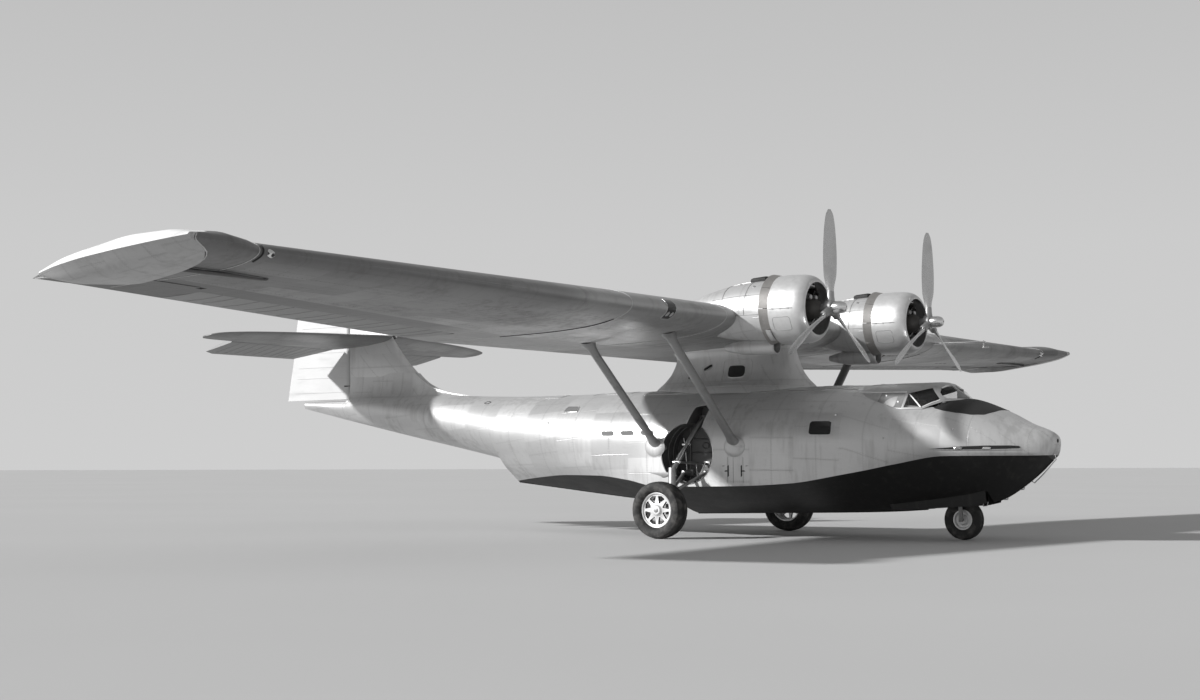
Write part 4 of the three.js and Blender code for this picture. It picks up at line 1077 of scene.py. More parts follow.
@dataclass
class Row:
    """Geometry Nodes tree that repeats one head along the edges of a mesh.

    Each path point carries its outward direction and its reach, which scales the head.
    """

    head: Head
    pitch: float
    size: tuple[float, float, float]
    sides: int = 8

    def tree(self) -> bpy.types.NodeTree:
        """Builds the tree with its named inputs.

        Returns:
            The node tree.
        """
        made = bpy.data.node_groups.new(f"row_of_{self.head.value}s", "GeometryNodeTree")
        face = made.interface
        face.new_socket("Geometry", in_out="OUTPUT", socket_type="NodeSocketGeometry")
        face.new_socket("Geometry", in_out="INPUT", socket_type="NodeSocketGeometry")
        for name, kind in (("Pitch", "Float"), ("Length", "Float"), ("Width", "Float"), ("Height", "Float"),
                           ("Finish", "Material")):
            face.new_socket(name, in_out="INPUT", socket_type=f"NodeSocket{kind}")

        def node(kind: str, values: dict[Any, Any] | None = None, out: Any = 0, **settings: Any) -> Any:
            """Adds a node.

            Args:
                kind: Type of the node.
                values: Values or links of its inputs, by name or number.
                out: Name or number of the output that is wanted.
                settings: Properties of the node.

            Returns:
                The output, or the node itself where it has none.
            """
            n = made.nodes.new(kind)
            for key, value in settings.items():
                setattr(n, key, value)
            for key, value in (values or {}).items():
                if isinstance(value, bpy.types.NodeSocket):
                    made.links.new(value, n.inputs[key])
                else:
                    n.inputs[key].default_value = value
            if not n.outputs:
                return n
            return n.outputs[out] if out else next(s for s in n.outputs if s.enabled)

        start = made.nodes.new("NodeGroupInput").outputs
        curve = node("GeometryNodeMeshToCurve", {"Mesh": start["Geometry"]})
        curve = node("GeometryNodeResampleCurve", {"Curve": curve, "Length": start["Pitch"]}, mode="LENGTH")
        outward = node("GeometryNodeInputNamedAttribute", {"Name": "outward"}, data_type="FLOAT_VECTOR")
        reach = node("GeometryNodeInputNamedAttribute", {"Name": "reach"}, data_type="FLOAT_VECTOR")
        up = node("FunctionNodeAlignRotationToVector", {"Vector": outward}, axis="Z")
        turn = node("FunctionNodeAlignRotationToVector",
                    {"Rotation": up, "Vector": node("GeometryNodeInputTangent")}, axis="X", pivot_axis="Z")
        if self.head is Head.DOME:
            narrow = node("ShaderNodeMath", {0: start["Width"], 1: 0.5}, operation="MULTIPLY")
            shape = node("GeometryNodeMeshCone", {"Vertices": self.sides, "Radius Top": narrow,
                                                  "Radius Bottom": start["Width"], "Depth": start["Height"]})
        elif self.head is Head.DISC:
            shape = node("GeometryNodeMeshCylinder",
                         {"Vertices": self.sides, "Radius": start["Width"], "Depth": start["Height"]})
        else:
            size = node("ShaderNodeCombineXYZ", {0: start["Length"], 1: start["Width"], 2: start["Height"]})
            shape = node("GeometryNodeMeshCube", {"Size": size})
        placed = node("GeometryNodeInstanceOnPoints",
                      {"Points": curve, "Instance": shape, "Rotation": turn, "Scale": reach})
        real = node("GeometryNodeRealizeInstances", {"Geometry": placed})
        done = node("GeometryNodeSetMaterial", {"Geometry": real, "Material": start["Finish"]})
        node("NodeGroupOutput", {"Geometry": done})
        return made

    def run(self, name: str, paths: Sequence[tuple[Any, Any, Any]], finish: Finish) -> bpy.types.Object:
        """Makes the rows as one plain mesh.

        Args:
            name: Name of the piece.
            paths: Points, outward directions and scales of each path.
            finish: Finish of the heads.

        Returns:
            The piece.
        """
        points, outs, reaches, edges = [], [], [], []
        for line, outward, reach in paths:
            line = np.asarray(line, float)
            edges += [(len(points) + i, len(points) + i + 1) for i in range(len(line) - 1)]
            points += list(line + SHIFT)
            outs += list(np.broadcast_to(np.asarray(outward, float), line.shape))
            reach = np.asarray(reach, float)
            reach = np.stack([reach, reach, np.ones_like(reach)], -1) if reach.ndim else [reach] * 3
            reaches += list(np.broadcast_to(reach, line.shape))
        mesh = bpy.data.meshes.new(name)
        mesh.from_pydata([tuple(p) for p in points], edges, [])
        for key, data in (("outward", outs), ("reach", reaches)):
            layer = mesh.attributes.new(key, "FLOAT_VECTOR", "POINT")
            layer.data.foreach_set("vector", np.array(data).ravel())
        made, tree = shown(name, mesh), self.tree()
        modifier = made.modifiers.new("row", "NODES")
        modifier.node_group = tree
        values = {"Pitch": self.pitch, "Length": self.size[0], "Width": self.size[1], "Height": self.size[2],
                  "Finish": finish.material()}
        for item in tree.interface.items_tree:
            if item.in_out == "INPUT" and item.name in values:
                modifier[item.identifier] = values[item.name]
        settle(made)
        if not made.data.materials:
            made.data.materials.append(finish.material())
        return crisp(made, 30.0, 1e-6)


def rivets(on: Surface, line: Iterable[tuple[float, float]], lift: float = 0.0) -> tuple[Any, Any, float]:
    """Path of a row of heads along a line on a surface.

    Args:
        on: Gives a point from two coordinates and a height above the surface.
        line: Points in the surface's two coordinates.
        lift: Height of the row above the surface.

    Returns:
        Points, outward directions and scale.
    """
    line = list(line)
    return [on(u, v, lift) for u, v in line], [on(u, v, 0.1) - on(u, v, 0) for u, v in line], 1.0


RIVETS = Row(Head.DOME, 0.09, (0, 0.0055, 0.005), 6)
BOLTS = Row(Head.DOME, 0.05, (0, 0.011, 0.012), 6)


def mount(piece: bpy.types.Object, body: str, slot: str, *nodes: str) -> bpy.types.Object:
    """Fixes a finished piece to its body.

    Args:
        piece: The piece.
        body: CAD body that it rides on.
        slot: The record's material slot; not used.
        nodes: CAD nodes that it stands for.

    Returns:
        The same piece.
    """
    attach(piece, body)
    if nodes:
        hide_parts(*nodes)
    LOG.info("%-28s %-22s %7d faces", piece.name, body, len(piece.data.polygons))
    return piece


# Hull


@dataclass
class Hull:
    """Fuselage hull, planing bottoms and tail cone."""

    frames: Table = Table(
        "x zChine yChine zBilge yBilge zWaist yWaist zCrown",
        (7.0, 1.745, 0.11, 1.77, 0.14, 1.84, 0.155, 1.915),
        (6.97, 1.69, 0.18, 1.72, 0.215, 1.8, 0.235, 1.95),
        (6.905, 1.575, 0.285, 1.62, 0.325, 1.738, 0.345, 2.0),
        (6.5, 1.57, 0.6, 1.63, 0.64, 1.74, 0.665, 2.165), (6.0, 1.57, 0.88, 1.64, 0.92, 1.76, 0.945, 2.415),
        (5.3, 1.565, 1.15, 1.64, 1.18, 1.78, 1.2, 2.64),
        (4.4, 1.42, 1.35, 1.56, 1.375, 1.8, 1.39, 2.68), (3.85, 1.31, 1.435, 1.5, 1.455, 1.83, 1.465, 2.8),
        (3.34, 1.22, 1.48, 1.45, 1.495, 1.85, 1.505, 2.945),
        (2.3, 1.06, 1.535, 1.4, 1.545, 1.85, 1.55, 2.955), (1.0, 1.0, 1.55, 1.4, 1.555, 1.85, 1.558, 2.96),
        (-0.7, 0.985, 1.53, 1.3, 1.555, 1.86, 1.558, 2.96), (-1.5, 1.12, 1.46, 1.35, 1.5, 1.9, 1.54, 2.955),
        (-2.3, 1.2, 1.3, 1.4, 1.42, 1.95, 1.5, 2.95), (-3.3, 1.21, 1.0, 1.42, 1.22, 2.02, 1.4, 2.93),
        (-4.3, 1.16, 0.62, 1.44, 0.94, 2.08, 1.25, 2.92), (-5.345, 1.08, 0.06, 1.46, 0.6, 2.14, 1.08, 2.93))
    tail: Table = Table(
        "x zChine yChine zBilge yBilge zWaist yWaist zCrown",
        (-5.346, 1.49, 0.16, 1.59, 0.6, 2.14, 1.08, 2.93), (-6.3, 1.68, 0.12, 1.79, 0.44, 2.32, 0.88, 2.96),
        (-7.1, 1.835, 0.09, 1.95, 0.35, 2.43, 0.73, 3.0), (-8.5, 2.1, 0.06, 2.2, 0.24, 2.62, 0.5, 3.06),
        (-10.34, 2.47, 0.04, 2.55, 0.14, 2.8, 0.27, 3.08),
        (-10.36, 2.474, 0.04, 2.554, 0.138, 2.8, 0.266, 2.96),
        (-11.5, 2.71, 0.02, 2.75, 0.06, 2.85, 0.12, 2.95),
        (-11.89, 2.79, 0.008, 2.81, 0.02, 2.87, 0.045, 2.94))
    keel_fore: Table = Table(
        "x z", (6.905, 1.49), (6.7, 1.29), (6.5, 1.125), (6.25, 0.945), (6.0, 0.8), (5.7, 0.695),
        (5.3, 0.632), (4.4, 0.565), (3.85, 0.53), (3.34, 0.51), (2.3, 0.485), (1.0, 0.462), (-0.7, 0.43))
    keel_aft: Table = Table("x z", (-0.7, 0.575), (-1.5, 0.655), (-2.3, 0.732), (-3.3, 0.835), (-4.3, 0.942),
                            (-5.345, 1.052))
    well_centre: tuple[float, float] = (0.0, 1.64)
    well_radius: float = 0.6
    well_wall: float = 0.951

    def width(self, x: float, z: float) -> float:
        """Half width of the hull.

        Args:
            x: Station.
            z: Height.

        Returns:
            Distance of the skin from the middle.
        """
        table = self.frames if x > -5.3455 else self.tail
        t = table.row(x)
        if z >= t["zWaist"]:
            rise = min((z - t["zWaist"]) / (t["zCrown"] - t["zWaist"]), 1.0)
            return t["yWaist"] * sqrt(1 - rise * rise)
        return float(self.lower(t, np.array([max(z, t["zChine"])]))[0])

    @staticmethod
    def lower(t: dict[str, float], z: np.ndarray) -> np.ndarray:
        """Half widths between the chine and the widest line."""
        keys = np.array([t["zChine"], t["zBilge"], t["zWaist"], 2 * t["zWaist"] - t["zBilge"]])
        return glide(keys, np.array([t["yChine"], t["yBilge"], t["yWaist"], t["yBilge"]]), z)

    def ring(self, table: Table, x: float, scale: float = 1.0) -> np.ndarray:
        """Closed section at a station, from the crown down the port side.

        Args:
            table: Frames of the hull or of the tail.
            x: Station.
            scale: Size about the section's own middle.

        Returns:
            Points of the ring.
        """
        t = table.row(x)
        angles = np.linspace(pi / 2, 0, 19)
        y = list(t["yWaist"] * np.cos(angles))
        z = list(t["zWaist"] + (t["zCrown"] - t["zWaist"]) * np.sin(angles))
        low = np.linspace(t["zWaist"], t["zChine"], 12)[1:]
        y += list(self.lower(t, low))
        z += list(low)
        port = np.array([(x, a, b) for a, b in zip(y, z)])
        ring = np.concatenate([port, [(x, 0, t["zChine"])], port[:0:-1] * [1, -1, 1]])
        middle = np.array([x, 0, t["zWaist"]])
        return middle + (ring - middle) * [1, scale, scale]

    def on_side(self, side: int, x: float, z: float, out: float = 0.0) -> np.ndarray:
        """Point on the skin.

        Args:
            side: 1 for port, -1 for starboard.
            x: Station.
            z: Height.
            out: Distance outside the skin.

        Returns:
            The point.
        """
        y = self.width(x, z)
        slope = (self.width(x, z + 0.01) - self.width(x, z - 0.01)) / 0.02
        size = hypot(1, slope)
        return np.array([x, side * (y + out / size), z - slope * out / size])

    def on_deck(self, side: int, x: float, y: float, out: float = 0.0) -> np.ndarray:
        """Point on the upper skin.

        Args:
            side: 1 for port, -1 for starboard.
            x: Station.
            y: Distance from the middle towards that side.
            out: Distance outside the skin.

        Returns:
            The point.
        """
        y = side * y
        low, crown, wide = self.frames.pick(x, "zWaist zCrown yWaist")
        share = min(abs(y) / wide, 0.98)
        up = sqrt(1 - share * share)
        return np.array([x, y + out * share * copysign(1, y), low + (crown - low) * up + out * up])

    def skin(self) -> None:
        """Hull above the chine, with the wheel wells, the cockpit and the nose well cut out."""
        stations = np.concatenate([[-5.345], np.arange(-5.25, 6.9, 0.09), [6.905, 6.94, 6.97]])
        rings = [self.ring(self.frames, x) for x in stations]
        rings += [self.ring(self.frames, x, s) for x, s in ((6.985, 0.93), (6.996, 0.78), (7.0, 0.5))]
        draft = Draft().loft(rings, 0, [r[0][0] for r in rings])
        hull = draft.build("hull_skin", SILVER, LINING, PAINTED_HOLLOW_SHADE)
        x, z = self.well_centre
        well = Draft()
        for side in (1, -1):
            well.lathe([(0, 0), (0, self.well_radius), (0.85, self.well_radius), (0.85, 0)],
                       (x, side * self.well_wall, z), (0, side, 0), 64)
        slot = Draft()
        for side in (1, -1):
            corners = rounded([(-0.06, 2.16), (0.31, 2.08), (0.35, 2.52), (0.23, 2.6), (0.0, 2.56)], 4, 0.12)
            slot.prism(corners, side * self.well_wall, side * 1.8)
        carve(hull, well, LINING)
        carve(hull, slot, LINING)
        # The nose well's and cockpit's cut faces take the near-black finish: painted shade.
        carve(hull, Draft().block((4.56, -0.31, 0.4), (5.76, 0.31, 1.56)), PAINTED_HOLLOW_SHADE)
        carve(hull, Draft().block((3.95, -0.8, 1.8), (5.0, 0.8, 3.2)), PAINTED_HOLLOW_SHADE)
        mount(hull, "airframe", "silver_skin", "hull_bow", "hull_mid", "hull_aft")
        rings = [self.ring(self.tail, x) for x in (*np.arange(-11.89, -10.37, 0.1), -10.36, -10.34,
                                                   *np.arange(-10.2, -5.4, 0.12), -5.346)]
        tail = Draft().loft(rings, 0, [r[0][0] for r in rings]).build("tail_skin", SILVER)
        mount(tail, "airframe", "silver_skin", "tail_cone")

    def bottoms(self) -> None:
        """The two vee bottoms, with a keel strip."""
        for name, keel, node in (("planing_bottom", self.keel_fore, "bottom_fore"),
                                 ("after_bottom", self.keel_aft, "bottom_aft")):
            stations = np.linspace(keel.keys[0], keel.keys[-1], 90 if node == "bottom_fore" else 50)
            share = np.linspace(1, 0.01, 14)
            rings = []
            for x in stations:
                low, (wide, top) = keel.read("z", x), self.frames.pick(x, "yChine zChine")
                port = [(x, wide * f, low + (top - 0.0005 - low) * f ** 1.25) for f in share]
                rings.append(mirrored(port))
            bottom = Draft().loft(rings, 13, stations).build(name, BLACK, PAINTED_HOLLOW_SHADE)
            strip = Draft()
            for low, high in ((-9.0, 4.5), (5.8, 9.0)):
                line = [(x, 0, keel.read("z", x) + 0.006) for x in stations if low < x < high]
                if line:
                    strip.tube(line, 0.02, 8)
            strip.fit(f"{name}_keel_strip", "black_bottom", BLACK)
            if node == "bottom_fore":
                # The nose well's cut faces take the near-black finish: painted shade.
                carve(bottom, Draft().block((4.56, -0.31, 0.3), (5.76, 0.31, 1.7)), PAINTED_HOLLOW_SHADE)
            mount(bottom, "airframe", "black_bottom", node)

    def openings(self) -> None:
        """Cabin windows, small waist lights and their frames."""
        panes = [((2.69, 2.24), (3.15, 2.235), (3.17, 1.965), (2.69, 1.97)),
                 ((-3.3, 2.52), (-3.27, 2.64), (-2.96, 2.64), (-2.9, 2.52))]
        panes += [((x - 0.15, 2.015), (x - 0.165, 2.105), (x + 0.14, 2.105), (x + 0.155, 2.015))
                  for x in (-1.93, -1.44, -0.95)]
        glass, rims, heads = Draft(), Draft(), []
        for side in (-1, 1):
            on = partial(self.on_side, side)
            for corners in panes:
                outline = rounded(corners, 5, 0.16)
                small = corners[0][0] < 0
                # Cabin panes and waist lights are opaque dark plates: painted shade of the cabin behind
                # them.
                glass.patch(outline, on, ((1, -0.01), (1, 0.006)), int(small), step=0.02)
                rims.rim(outline, on, 0.007 if small else 0.011, out=0.004)
                middle = np.mean(outline, 0)
                grown = [middle + (np.array(q) - middle) * 1.14 for q in outline]
                heads.append(rivets(on, trace(grown, closed=True), 0.002))
            rims.rim(rounded(oblong(-5.85, 2.765, -5.69, 2.815), 4, 0.3), on, 0.009, 1)
        glass.fit("cabin_panes", "window_glass", SHADE_PAINTED_GLASS, SHADE_PAINTED_PANE)
        rims.fit("window_frames", "silver_skin", FAIR_SKIN, MATT_BLACK_AND_PAINTED_SHADE)
        mount(RIVETS.run("window_rivets", heads, FAIR_SKIN), "airframe", "silver_skin")

    def fittings(self) -> None:
        """Rails, plates, seams, marks and stem fittings on the hull."""
        bright, black, plates, seams, heads = Draft(), Draft(), Draft(), Draft(), []
        for side in (-1, 1):
            on, deck = partial(self.on_side, side), partial(self.on_deck, side)
            # Black plate over the bow rail slot: painted shade of the recess.
            black.patch([(5.03, 1.692), (5.3, 1.714), (5.6, 1.738), (6.0, 1.752), (6.4, 1.752),
                         (6.53, 1.742), (6.55, 1.72), (6.53, 1.702), (6.3, 1.692), (5.9, 1.684),
                         (5.5, 1.683)], on, ((1, -0.01), (1, 0.004)), middle=(5.9, 1.715))
            bright.bead([(5.1, 1.672), (5.6, 1.67), (6.2, 1.672), (6.55, 1.68)], on, 0.008)
            for x in (5.55, 6.02):
                bright.patch(rounded(oblong(x - 0.075, 1.69, x + 0.075, 1.728), 3), on,
                             ((1, 0), (1, 0.012), (0.8, 0.018)))
            rim = oval(*self.well_centre, 0.602, 0.602, np.arange(-4.42, 1.1, 0.08))
            bright.bead(rim, on, 0.011)
            slot = [(-0.07, 2.22), (-0.02, 2.5), (0.0, 2.57), (0.06, 2.6), (0.23, 2.61), (0.33, 2.56),
                    (0.35, 2.49), (0.32, 2.2)]
            bright.bead(slot, on, 0.008)
            heads.append(rivets(on, rim, 0.001))
            dome = ((1, -0.02), (1, 0.004), (0.93, 0.014), (0.78, 0.026), (0.55, 0.034), (0.3, 0.038))
            for x, z in ((1.09, 1.77), (-0.75, 1.77)):
                ring = oval(x, z, 0.23, 0.2, 36)
                plates.patch(ring, on, dome)
                plates.rim(ring, on, 0.009)
            for x in (0.93, 1.06, 1.28):
                seams.bead([(x, 1.06), (x, 1.56)], on, 0.0045)
            for x, lean in ((0.946, -0.085), (1.243, 0.085)):
                black.patch(about(x, 1.295, 0.014, 0.115), on)
                black.patch(oblong(min(x, x + lean), 1.283, max(x, x + lean), 1.307), on)
            for x in (0.84, 1.36):
                black.patch(about(x, 1.392, 0.04, 0.006), on)
            bright.bead([(-1.62, 0.64), (-1.4, 0.66), (0.9, 0.68), (3.3, 0.62)], deck, 0.012)
            for x in (-3.0, -1.1, 2.5):
                seams.bead([(x, 0.0), (x, 0.5)], deck, 0.004)
            for u in ((-4.55, 0.1, -3.85, 0.52), (-2.7, 0.08, -2.05, 0.5), (2.35, 0.12, 2.95, 0.55)):
                outline = rounded(oblong(*u), 4, 0.16)
                plates.patch(outline, deck, ((1, -0.01), (1, 0.006)))
                heads.append(rivets(deck, trace(outline, closed=True), 0.005))
            for x, z in ((3.19, 2.345), (5.44, 2.055), (-3.6, 2.3), (-0.3, 2.7), (4.2, 1.9)):
                bright.lathe([(-0.01, 0), (-0.01, 0.02), (0.012, 0.018), (0.02, 0.008), (0.02, 0)],
                             on(x, z, 0), on(x, z, 0.1) - on(x, z, 0), 14)
            for x in (4.4, 3.34, 2.3, 1.75, -1.5, -2.9, -3.9, -4.8):
                low, high = self.frames.read("zChine", x) + 0.02, self.frames.read("zCrown", x) - 0.12
                line = trace([(x, low), (x, high)], 0.1)
                for gap in (-0.022, 0.022):
                    heads.append(rivets(on, line + [gap, 0]))
        glare = [(5.32, 0.0), (5.29, 0.3), (5.15, 0.53), (5.0, 0.71), (4.93, 0.83), (5.15, 0.87),
                 (5.376, 0.86), (5.65, 0.78), (5.86, 0.63), (5.96, 0.4), (6.0, 0.1)]
        black.patch(trace(mirrored(glare, 0), 0.05, True), partial(self.on_deck, 1),
                    ((1, -0.01), (1, 0.006)), middle=(5.62, 0.0), rings=12)
        bright.tube([(6.93, 0, 1.6), (6.965, 0, 1.5), (6.72, 0, 1.235), (6.54, 0, 1.07),
                     (6.47, 0, 1.12)], 0.011, 8)
        for x in (6.3, 5.98, 5.57):
            z = self.keel_fore.read("z", x)
            bright.tube([(x - 0.05, 0, z + 0.03), (x - 0.03, 0, z - 0.03), (x + 0.04, 0, z - 0.022),
                         (x + 0.06, 0, z + 0.05)], 0.012, 8)
        bright.lathe([(0, 0), (0, 0.05), (0.006, 0.05), (0.012, 0.04), (0.012, 0)], (6.988, 0, 1.84),
                     (1, 0, 0), 24)
        bright.fit("hull_bright_fittings", "silver_skin", BRIGHT)
        black.fit("hull_black_fittings_and_slot_shade", "dark_skin", MATT_BLACK_AND_PAINTED_SHADE)
        plates.fit("hull_plates", "silver_skin", FAIR_SKIN)
        seams.fit("hull_seams", "dark_skin", DARK_SKIN)
        mount(RIVETS.run("hull_rivets", heads, SILVER), "airframe", "silver_skin")

    def wells(self) -> None:
        """Stiffeners, pipes and an inspection hole inside the wheel wells, and the nose well's doors."""
        ribs, pipes, x0, z0 = Draft(), Draft(), *self.well_centre
        for side in (-1, 1):
            back = side * (self.well_wall + 0.006)
            for z in (1.24, 1.43, 1.66, 1.93):
                reach = sqrt(0.585 ** 2 - (z - z0) ** 2)
                ribs.tube([(x0 - reach, back, z), (x0 + reach, back, z)], 0.017, 6)
            for x in (-0.28, 0.34):
                reach = sqrt(0.585 ** 2 - x * x)
                ribs.tube([(x, back + side * 0.012, z0 - reach),
                           (x, back + side * 0.012, z0 + reach)], 0.02, 6)
            ribs.tube([(x, back, z) for x, z in oval(0.07, 1.8, 0.075, 0.055)], 0.01, 6, closed=True)
            for depth in (1.12, 1.3):
                hoop = oval(x0, z0, 0.595, 0.595, np.arange(-4.3, 1.2, 0.1))
                ribs.tube([(x, side * depth, z) for x, z in hoop], 0.012, 6)
            for radius, path in (
                    (0.009, ((0.42, 1.05, 1.98), (0.378, 1.0, 1.7), (0.36, 1.1, 1.3))),
                    (0.009, ((-0.42, 1.0, 1.95), (-0.378, 1.0, 1.7), (-0.35, 1.0, 1.32))),
                    (0.012, ((0.24, 1.24, 1.47), (0.12, 1.32, 1.16))),
                    (0.012, ((0.02, 1.24, 1.46), (0.1, 1.32, 1.16)))):
                pipes.tube(np.array(path) * [1, side, 1], radius, 8)
            hub = oval(0.11, 1.13, 0.045, 0.045, 20)
            pipes.tube([(x, side * 1.33, z) for x, z in hub], 0.012, 8, closed=True)
        leaf = rounded([(3.72, 0.8), (5.3, 1.04), (5.72, 0.98), (5.745, 0.7), (5.5, 0.645),
                        (3.86, 0.54)], 4, 0.08)
        doors = Draft()
        for side in (-1, 1):
            doors.prism(leaf, side * 0.335, side * 0.353)
            for x in (4.0, 4.5, 5.0, 5.5):
                doors.tube([(x, side * 0.33, 0.66), (x, side * 0.33, 0.9)], 0.012, 6)
        doors.fit("nose_doors", "black_bottom", BLACK)
        ribs.fit("well_stiffeners", "silver_skin", LINING)
        pipes.fit("well_pipes", "gear_steel", BRIGHT)

    def build(self) -> None:
        """Builds the hull group."""
        self.skin()
        self.bottoms()
        self.openings()
        self.fittings()
        self.wells()


# Wing group


def half_thickness(ratio: float, f: Any) -> Any:
    """Half thickness of a section at a share of its chord, from its greatest thickness."""
    return 5 * ratio * (0.2969 * f ** 0.5 - 0.126 * f - 0.3516 * f ** 2 + 0.2843 * f ** 3 - 0.1015 * f ** 4)


def camber(f: Any) -> Any:
    """Height of the middle line of a section at a share of its chord."""
    return 0.08 * f * (1 - f)


def aerofoil(ratio: float) -> np.ndarray:
    """Aerofoil outline from the trailing edge over the top, as shares of the chord.

    Args:
        ratio: Greatest thickness over chord.

    Returns:
        Distances aft and heights.
    """
    f = (1 - np.cos(np.linspace(0, pi, 26))) / 2
    half = np.maximum(half_thickness(ratio, f), 0.0007)
    half[0] = 0
    line = camber(f)
    upper = np.stack([f, line + half], 1)[::-1]
    return np.concatenate([upper, np.stack([f, line - half], 1)[1:]])


@dataclass
class Wing:
    """Parasol wing, ailerons, floats, struts and pylon."""

    table: Table = Table(
        "y xLead zLead xTrail zTrail ratio", (0, 1.8, 4.2, -2.73, 3.712, 0.15),
        (6.1, 1.8, 4.2, -2.73, 3.712, 0.15), (14.25, 1.16, 4.362, -2.11, 4.025, 0.122),
        (14.45, 1.215, 4.38, -2.095, 4.033, 0.132), (14.9, 1.33, 4.4, -2.06, 4.05, 0.134), straight=True)
    float_table: Table = Table(
        "x yKeel zKeel zTop zLow deck", (1.345, 15.74, 4.415, 4.455, 4.37, 15.65),
        (1.15, 15.8, 4.39, 4.51, 4.25, 15.255), (0.7, 15.84, 4.35, 4.585, 4.12, 14.985),
        (0.1, 15.85, 4.3, 4.59, 4.02, 14.925), (-0.6, 15.84, 4.235, 4.505, 3.94, 14.925),
        (-1.25, 15.78, 4.165, 4.35, 3.95, 15.255), (-1.79, 15.65, 4.105, 4.15, 4.06, 15.56))
    pylon_table: Table = Table(
        "z xFront xRear half", (2.7, 2.23, -1.9, 0.79), (2.955, 2.06, -1.73, 0.7), (3.12, 1.89, -1.52, 0.56),
        (3.32, 1.75, -1.33, 0.47), (3.6, 1.64, -1.215, 0.44), (3.78, 1.6, -1.33, 0.47),
        (3.9, 1.62, -1.33, 0.48), (4.06, 1.48, -0.9, 0.47))
    hinge: float = 0.745
    hinge_rise: float = 0.0152
    aileron_span: tuple[float, float] = (6.9, 13.1)
    arms: tuple[float, float] = (-1.0, 0.3)

    def at(self, y: float) -> dict[str, float]:
        """Leading and trailing edge, thickness, chord and its angle.

        Args:
            y: Distance out.

        Returns:
            The numbers by name.
        """
        t = self.table.row(abs(y))
        t["chord"] = hypot(t["xLead"] - t["xTrail"], t["zLead"] - t["zTrail"])
        t["angle"] = atan2(t["zLead"] - t["zTrail"], t["xLead"] - t["xTrail"])
        return t

    def point(self, y: float, aft: float, height: float) -> np.ndarray:
        """Point of a section.

        Args:
            y: Distance out.
            aft: Share of the chord aft of the leading edge.
            height: Share of the chord above the chord line.

        Returns:
            The point.
        """
        t = self.at(y)
        c, s = cos(t["angle"]), sin(t["angle"])
        a, h = aft * t["chord"], height * t["chord"]
        return np.array([t["xLead"] - a * c - h * s, y, t["zLead"] - a * s + h * c])

    def surface(self, y: float, aft: float, top: bool) -> np.ndarray:
        """Point on the upper or lower skin."""
        half = half_thickness(self.at(y)["ratio"], aft)
        return self.point(y, aft, camber(aft) + (half if top else -half))

    def under(self, y: float, x: float) -> float:
        """Height of the lower skin at a place."""
        t = self.at(y)
        return self.surface(y, (t["xLead"] - x) / (t["xLead"] - t["xTrail"]), False)[2]

    def ring(self, y: float) -> list[np.ndarray]:
        """Closed section at a distance out."""
        return [self.point(y, f, h) for f, h in aerofoil(self.at(y)["ratio"])]

    def nose(self, y: float) -> tuple[np.ndarray, float]:
        """Hinge point of the aileron and the radius of its nose."""
        t = self.at(y)
        radius = half_thickness(t["ratio"], self.hinge) * t["chord"] - 0.006
        return self.point(y, self.hinge, self.hinge_rise), radius

    def panels(self) -> None:
        """Centre section and the two outer panels."""
        stations = np.linspace(-CENTRE_HALF, CENTRE_HALF, 25)
        draft = Draft().loft([self.ring(y) for y in stations], 25, stations)
        draft.fit("centre_wing", "silver_skin", WING_SKIN, node="wing_centre")
        stations = [CENTRE_HALF + 0.0003, *np.arange(6.5, 14.2, 0.5), 14.25, 14.3, 14.38, 14.45, 14.6,
                    14.75, WING_END]
        outer = Draft().loft([self.ring(y) for y in stations], 25, stations)
        rings, gap, reach = [], 0.014, 0.6
        for y in self.aileron_span:
            (x, _, z), radius = self.nose(y)
            aft, low, high = self.at(y)["xTrail"] - 0.4, z - reach, z + reach
            bow = oval(x, z, radius + gap, radius + gap, np.linspace(-pi / 2, pi / 2, 19))
            rings.append([(u, y, w) for u, w in [(x, low), *bow, (x, high), (aft, high), (aft, low)]])
        bay, recess = Draft().loft(rings), Draft()
        for x in self.arms:
            recess.block((x - 0.067, 13.29, 3.7), (x + 0.067, 14.95, 4.118))
        for side, sign in SIDES:
            panel = outer.on(sign).build(f"outer_wing_{side}", WING_SKIN, PAINTED_HOLLOW_SHADE)
            # The aileron cove's faces take the near-black finish: painted shade.
            carve(panel, bay.on(sign), PAINTED_HOLLOW_SHADE)
            carve(panel, recess.on(sign), WING_SKIN)
            mount(panel, "airframe", "silver_skin", f"wing_outer_{side}")

    def ailerons(self) -> None:
        """Fabric ailerons with raised rib tapes."""
        (y0, y1), gap, steps, rings = self.aileron_span, 0.012, 40, []
        for y in np.linspace(y0 + gap, y1 - gap, steps):
            place, radius = self.nose(y)
            t = self.at(y)
            c, s = cos(t["angle"]), sin(t["angle"])
            droop = 0.08 * self.hinge
            section = [(f, u - droop * max(-f, 0))
                       for f, u in moving_section(radius, (1 - self.hinge) * t["chord"])]
            rings.append([place + [f * c - u * s, 0, f * s + u * c] for f, u in section])
        draft = Draft().loft(rings, 14, np.linspace(y0, y1, steps))
        for y in np.arange(y0 + 0.3, y1 - 0.1, 0.42):
            draft.tapes(rings[round((y - y0 - gap) / (y1 - y0 - 2 * gap) * (steps - 1))], 0.007)
        # The ailerons take the darker cloth: painted shade.
        draft.fit_pair("aileron_cloth_{}", "control_fabric", SHADE_PAINTED_CLOTH, node="aileron_{}",
                       body="aileron_{}")

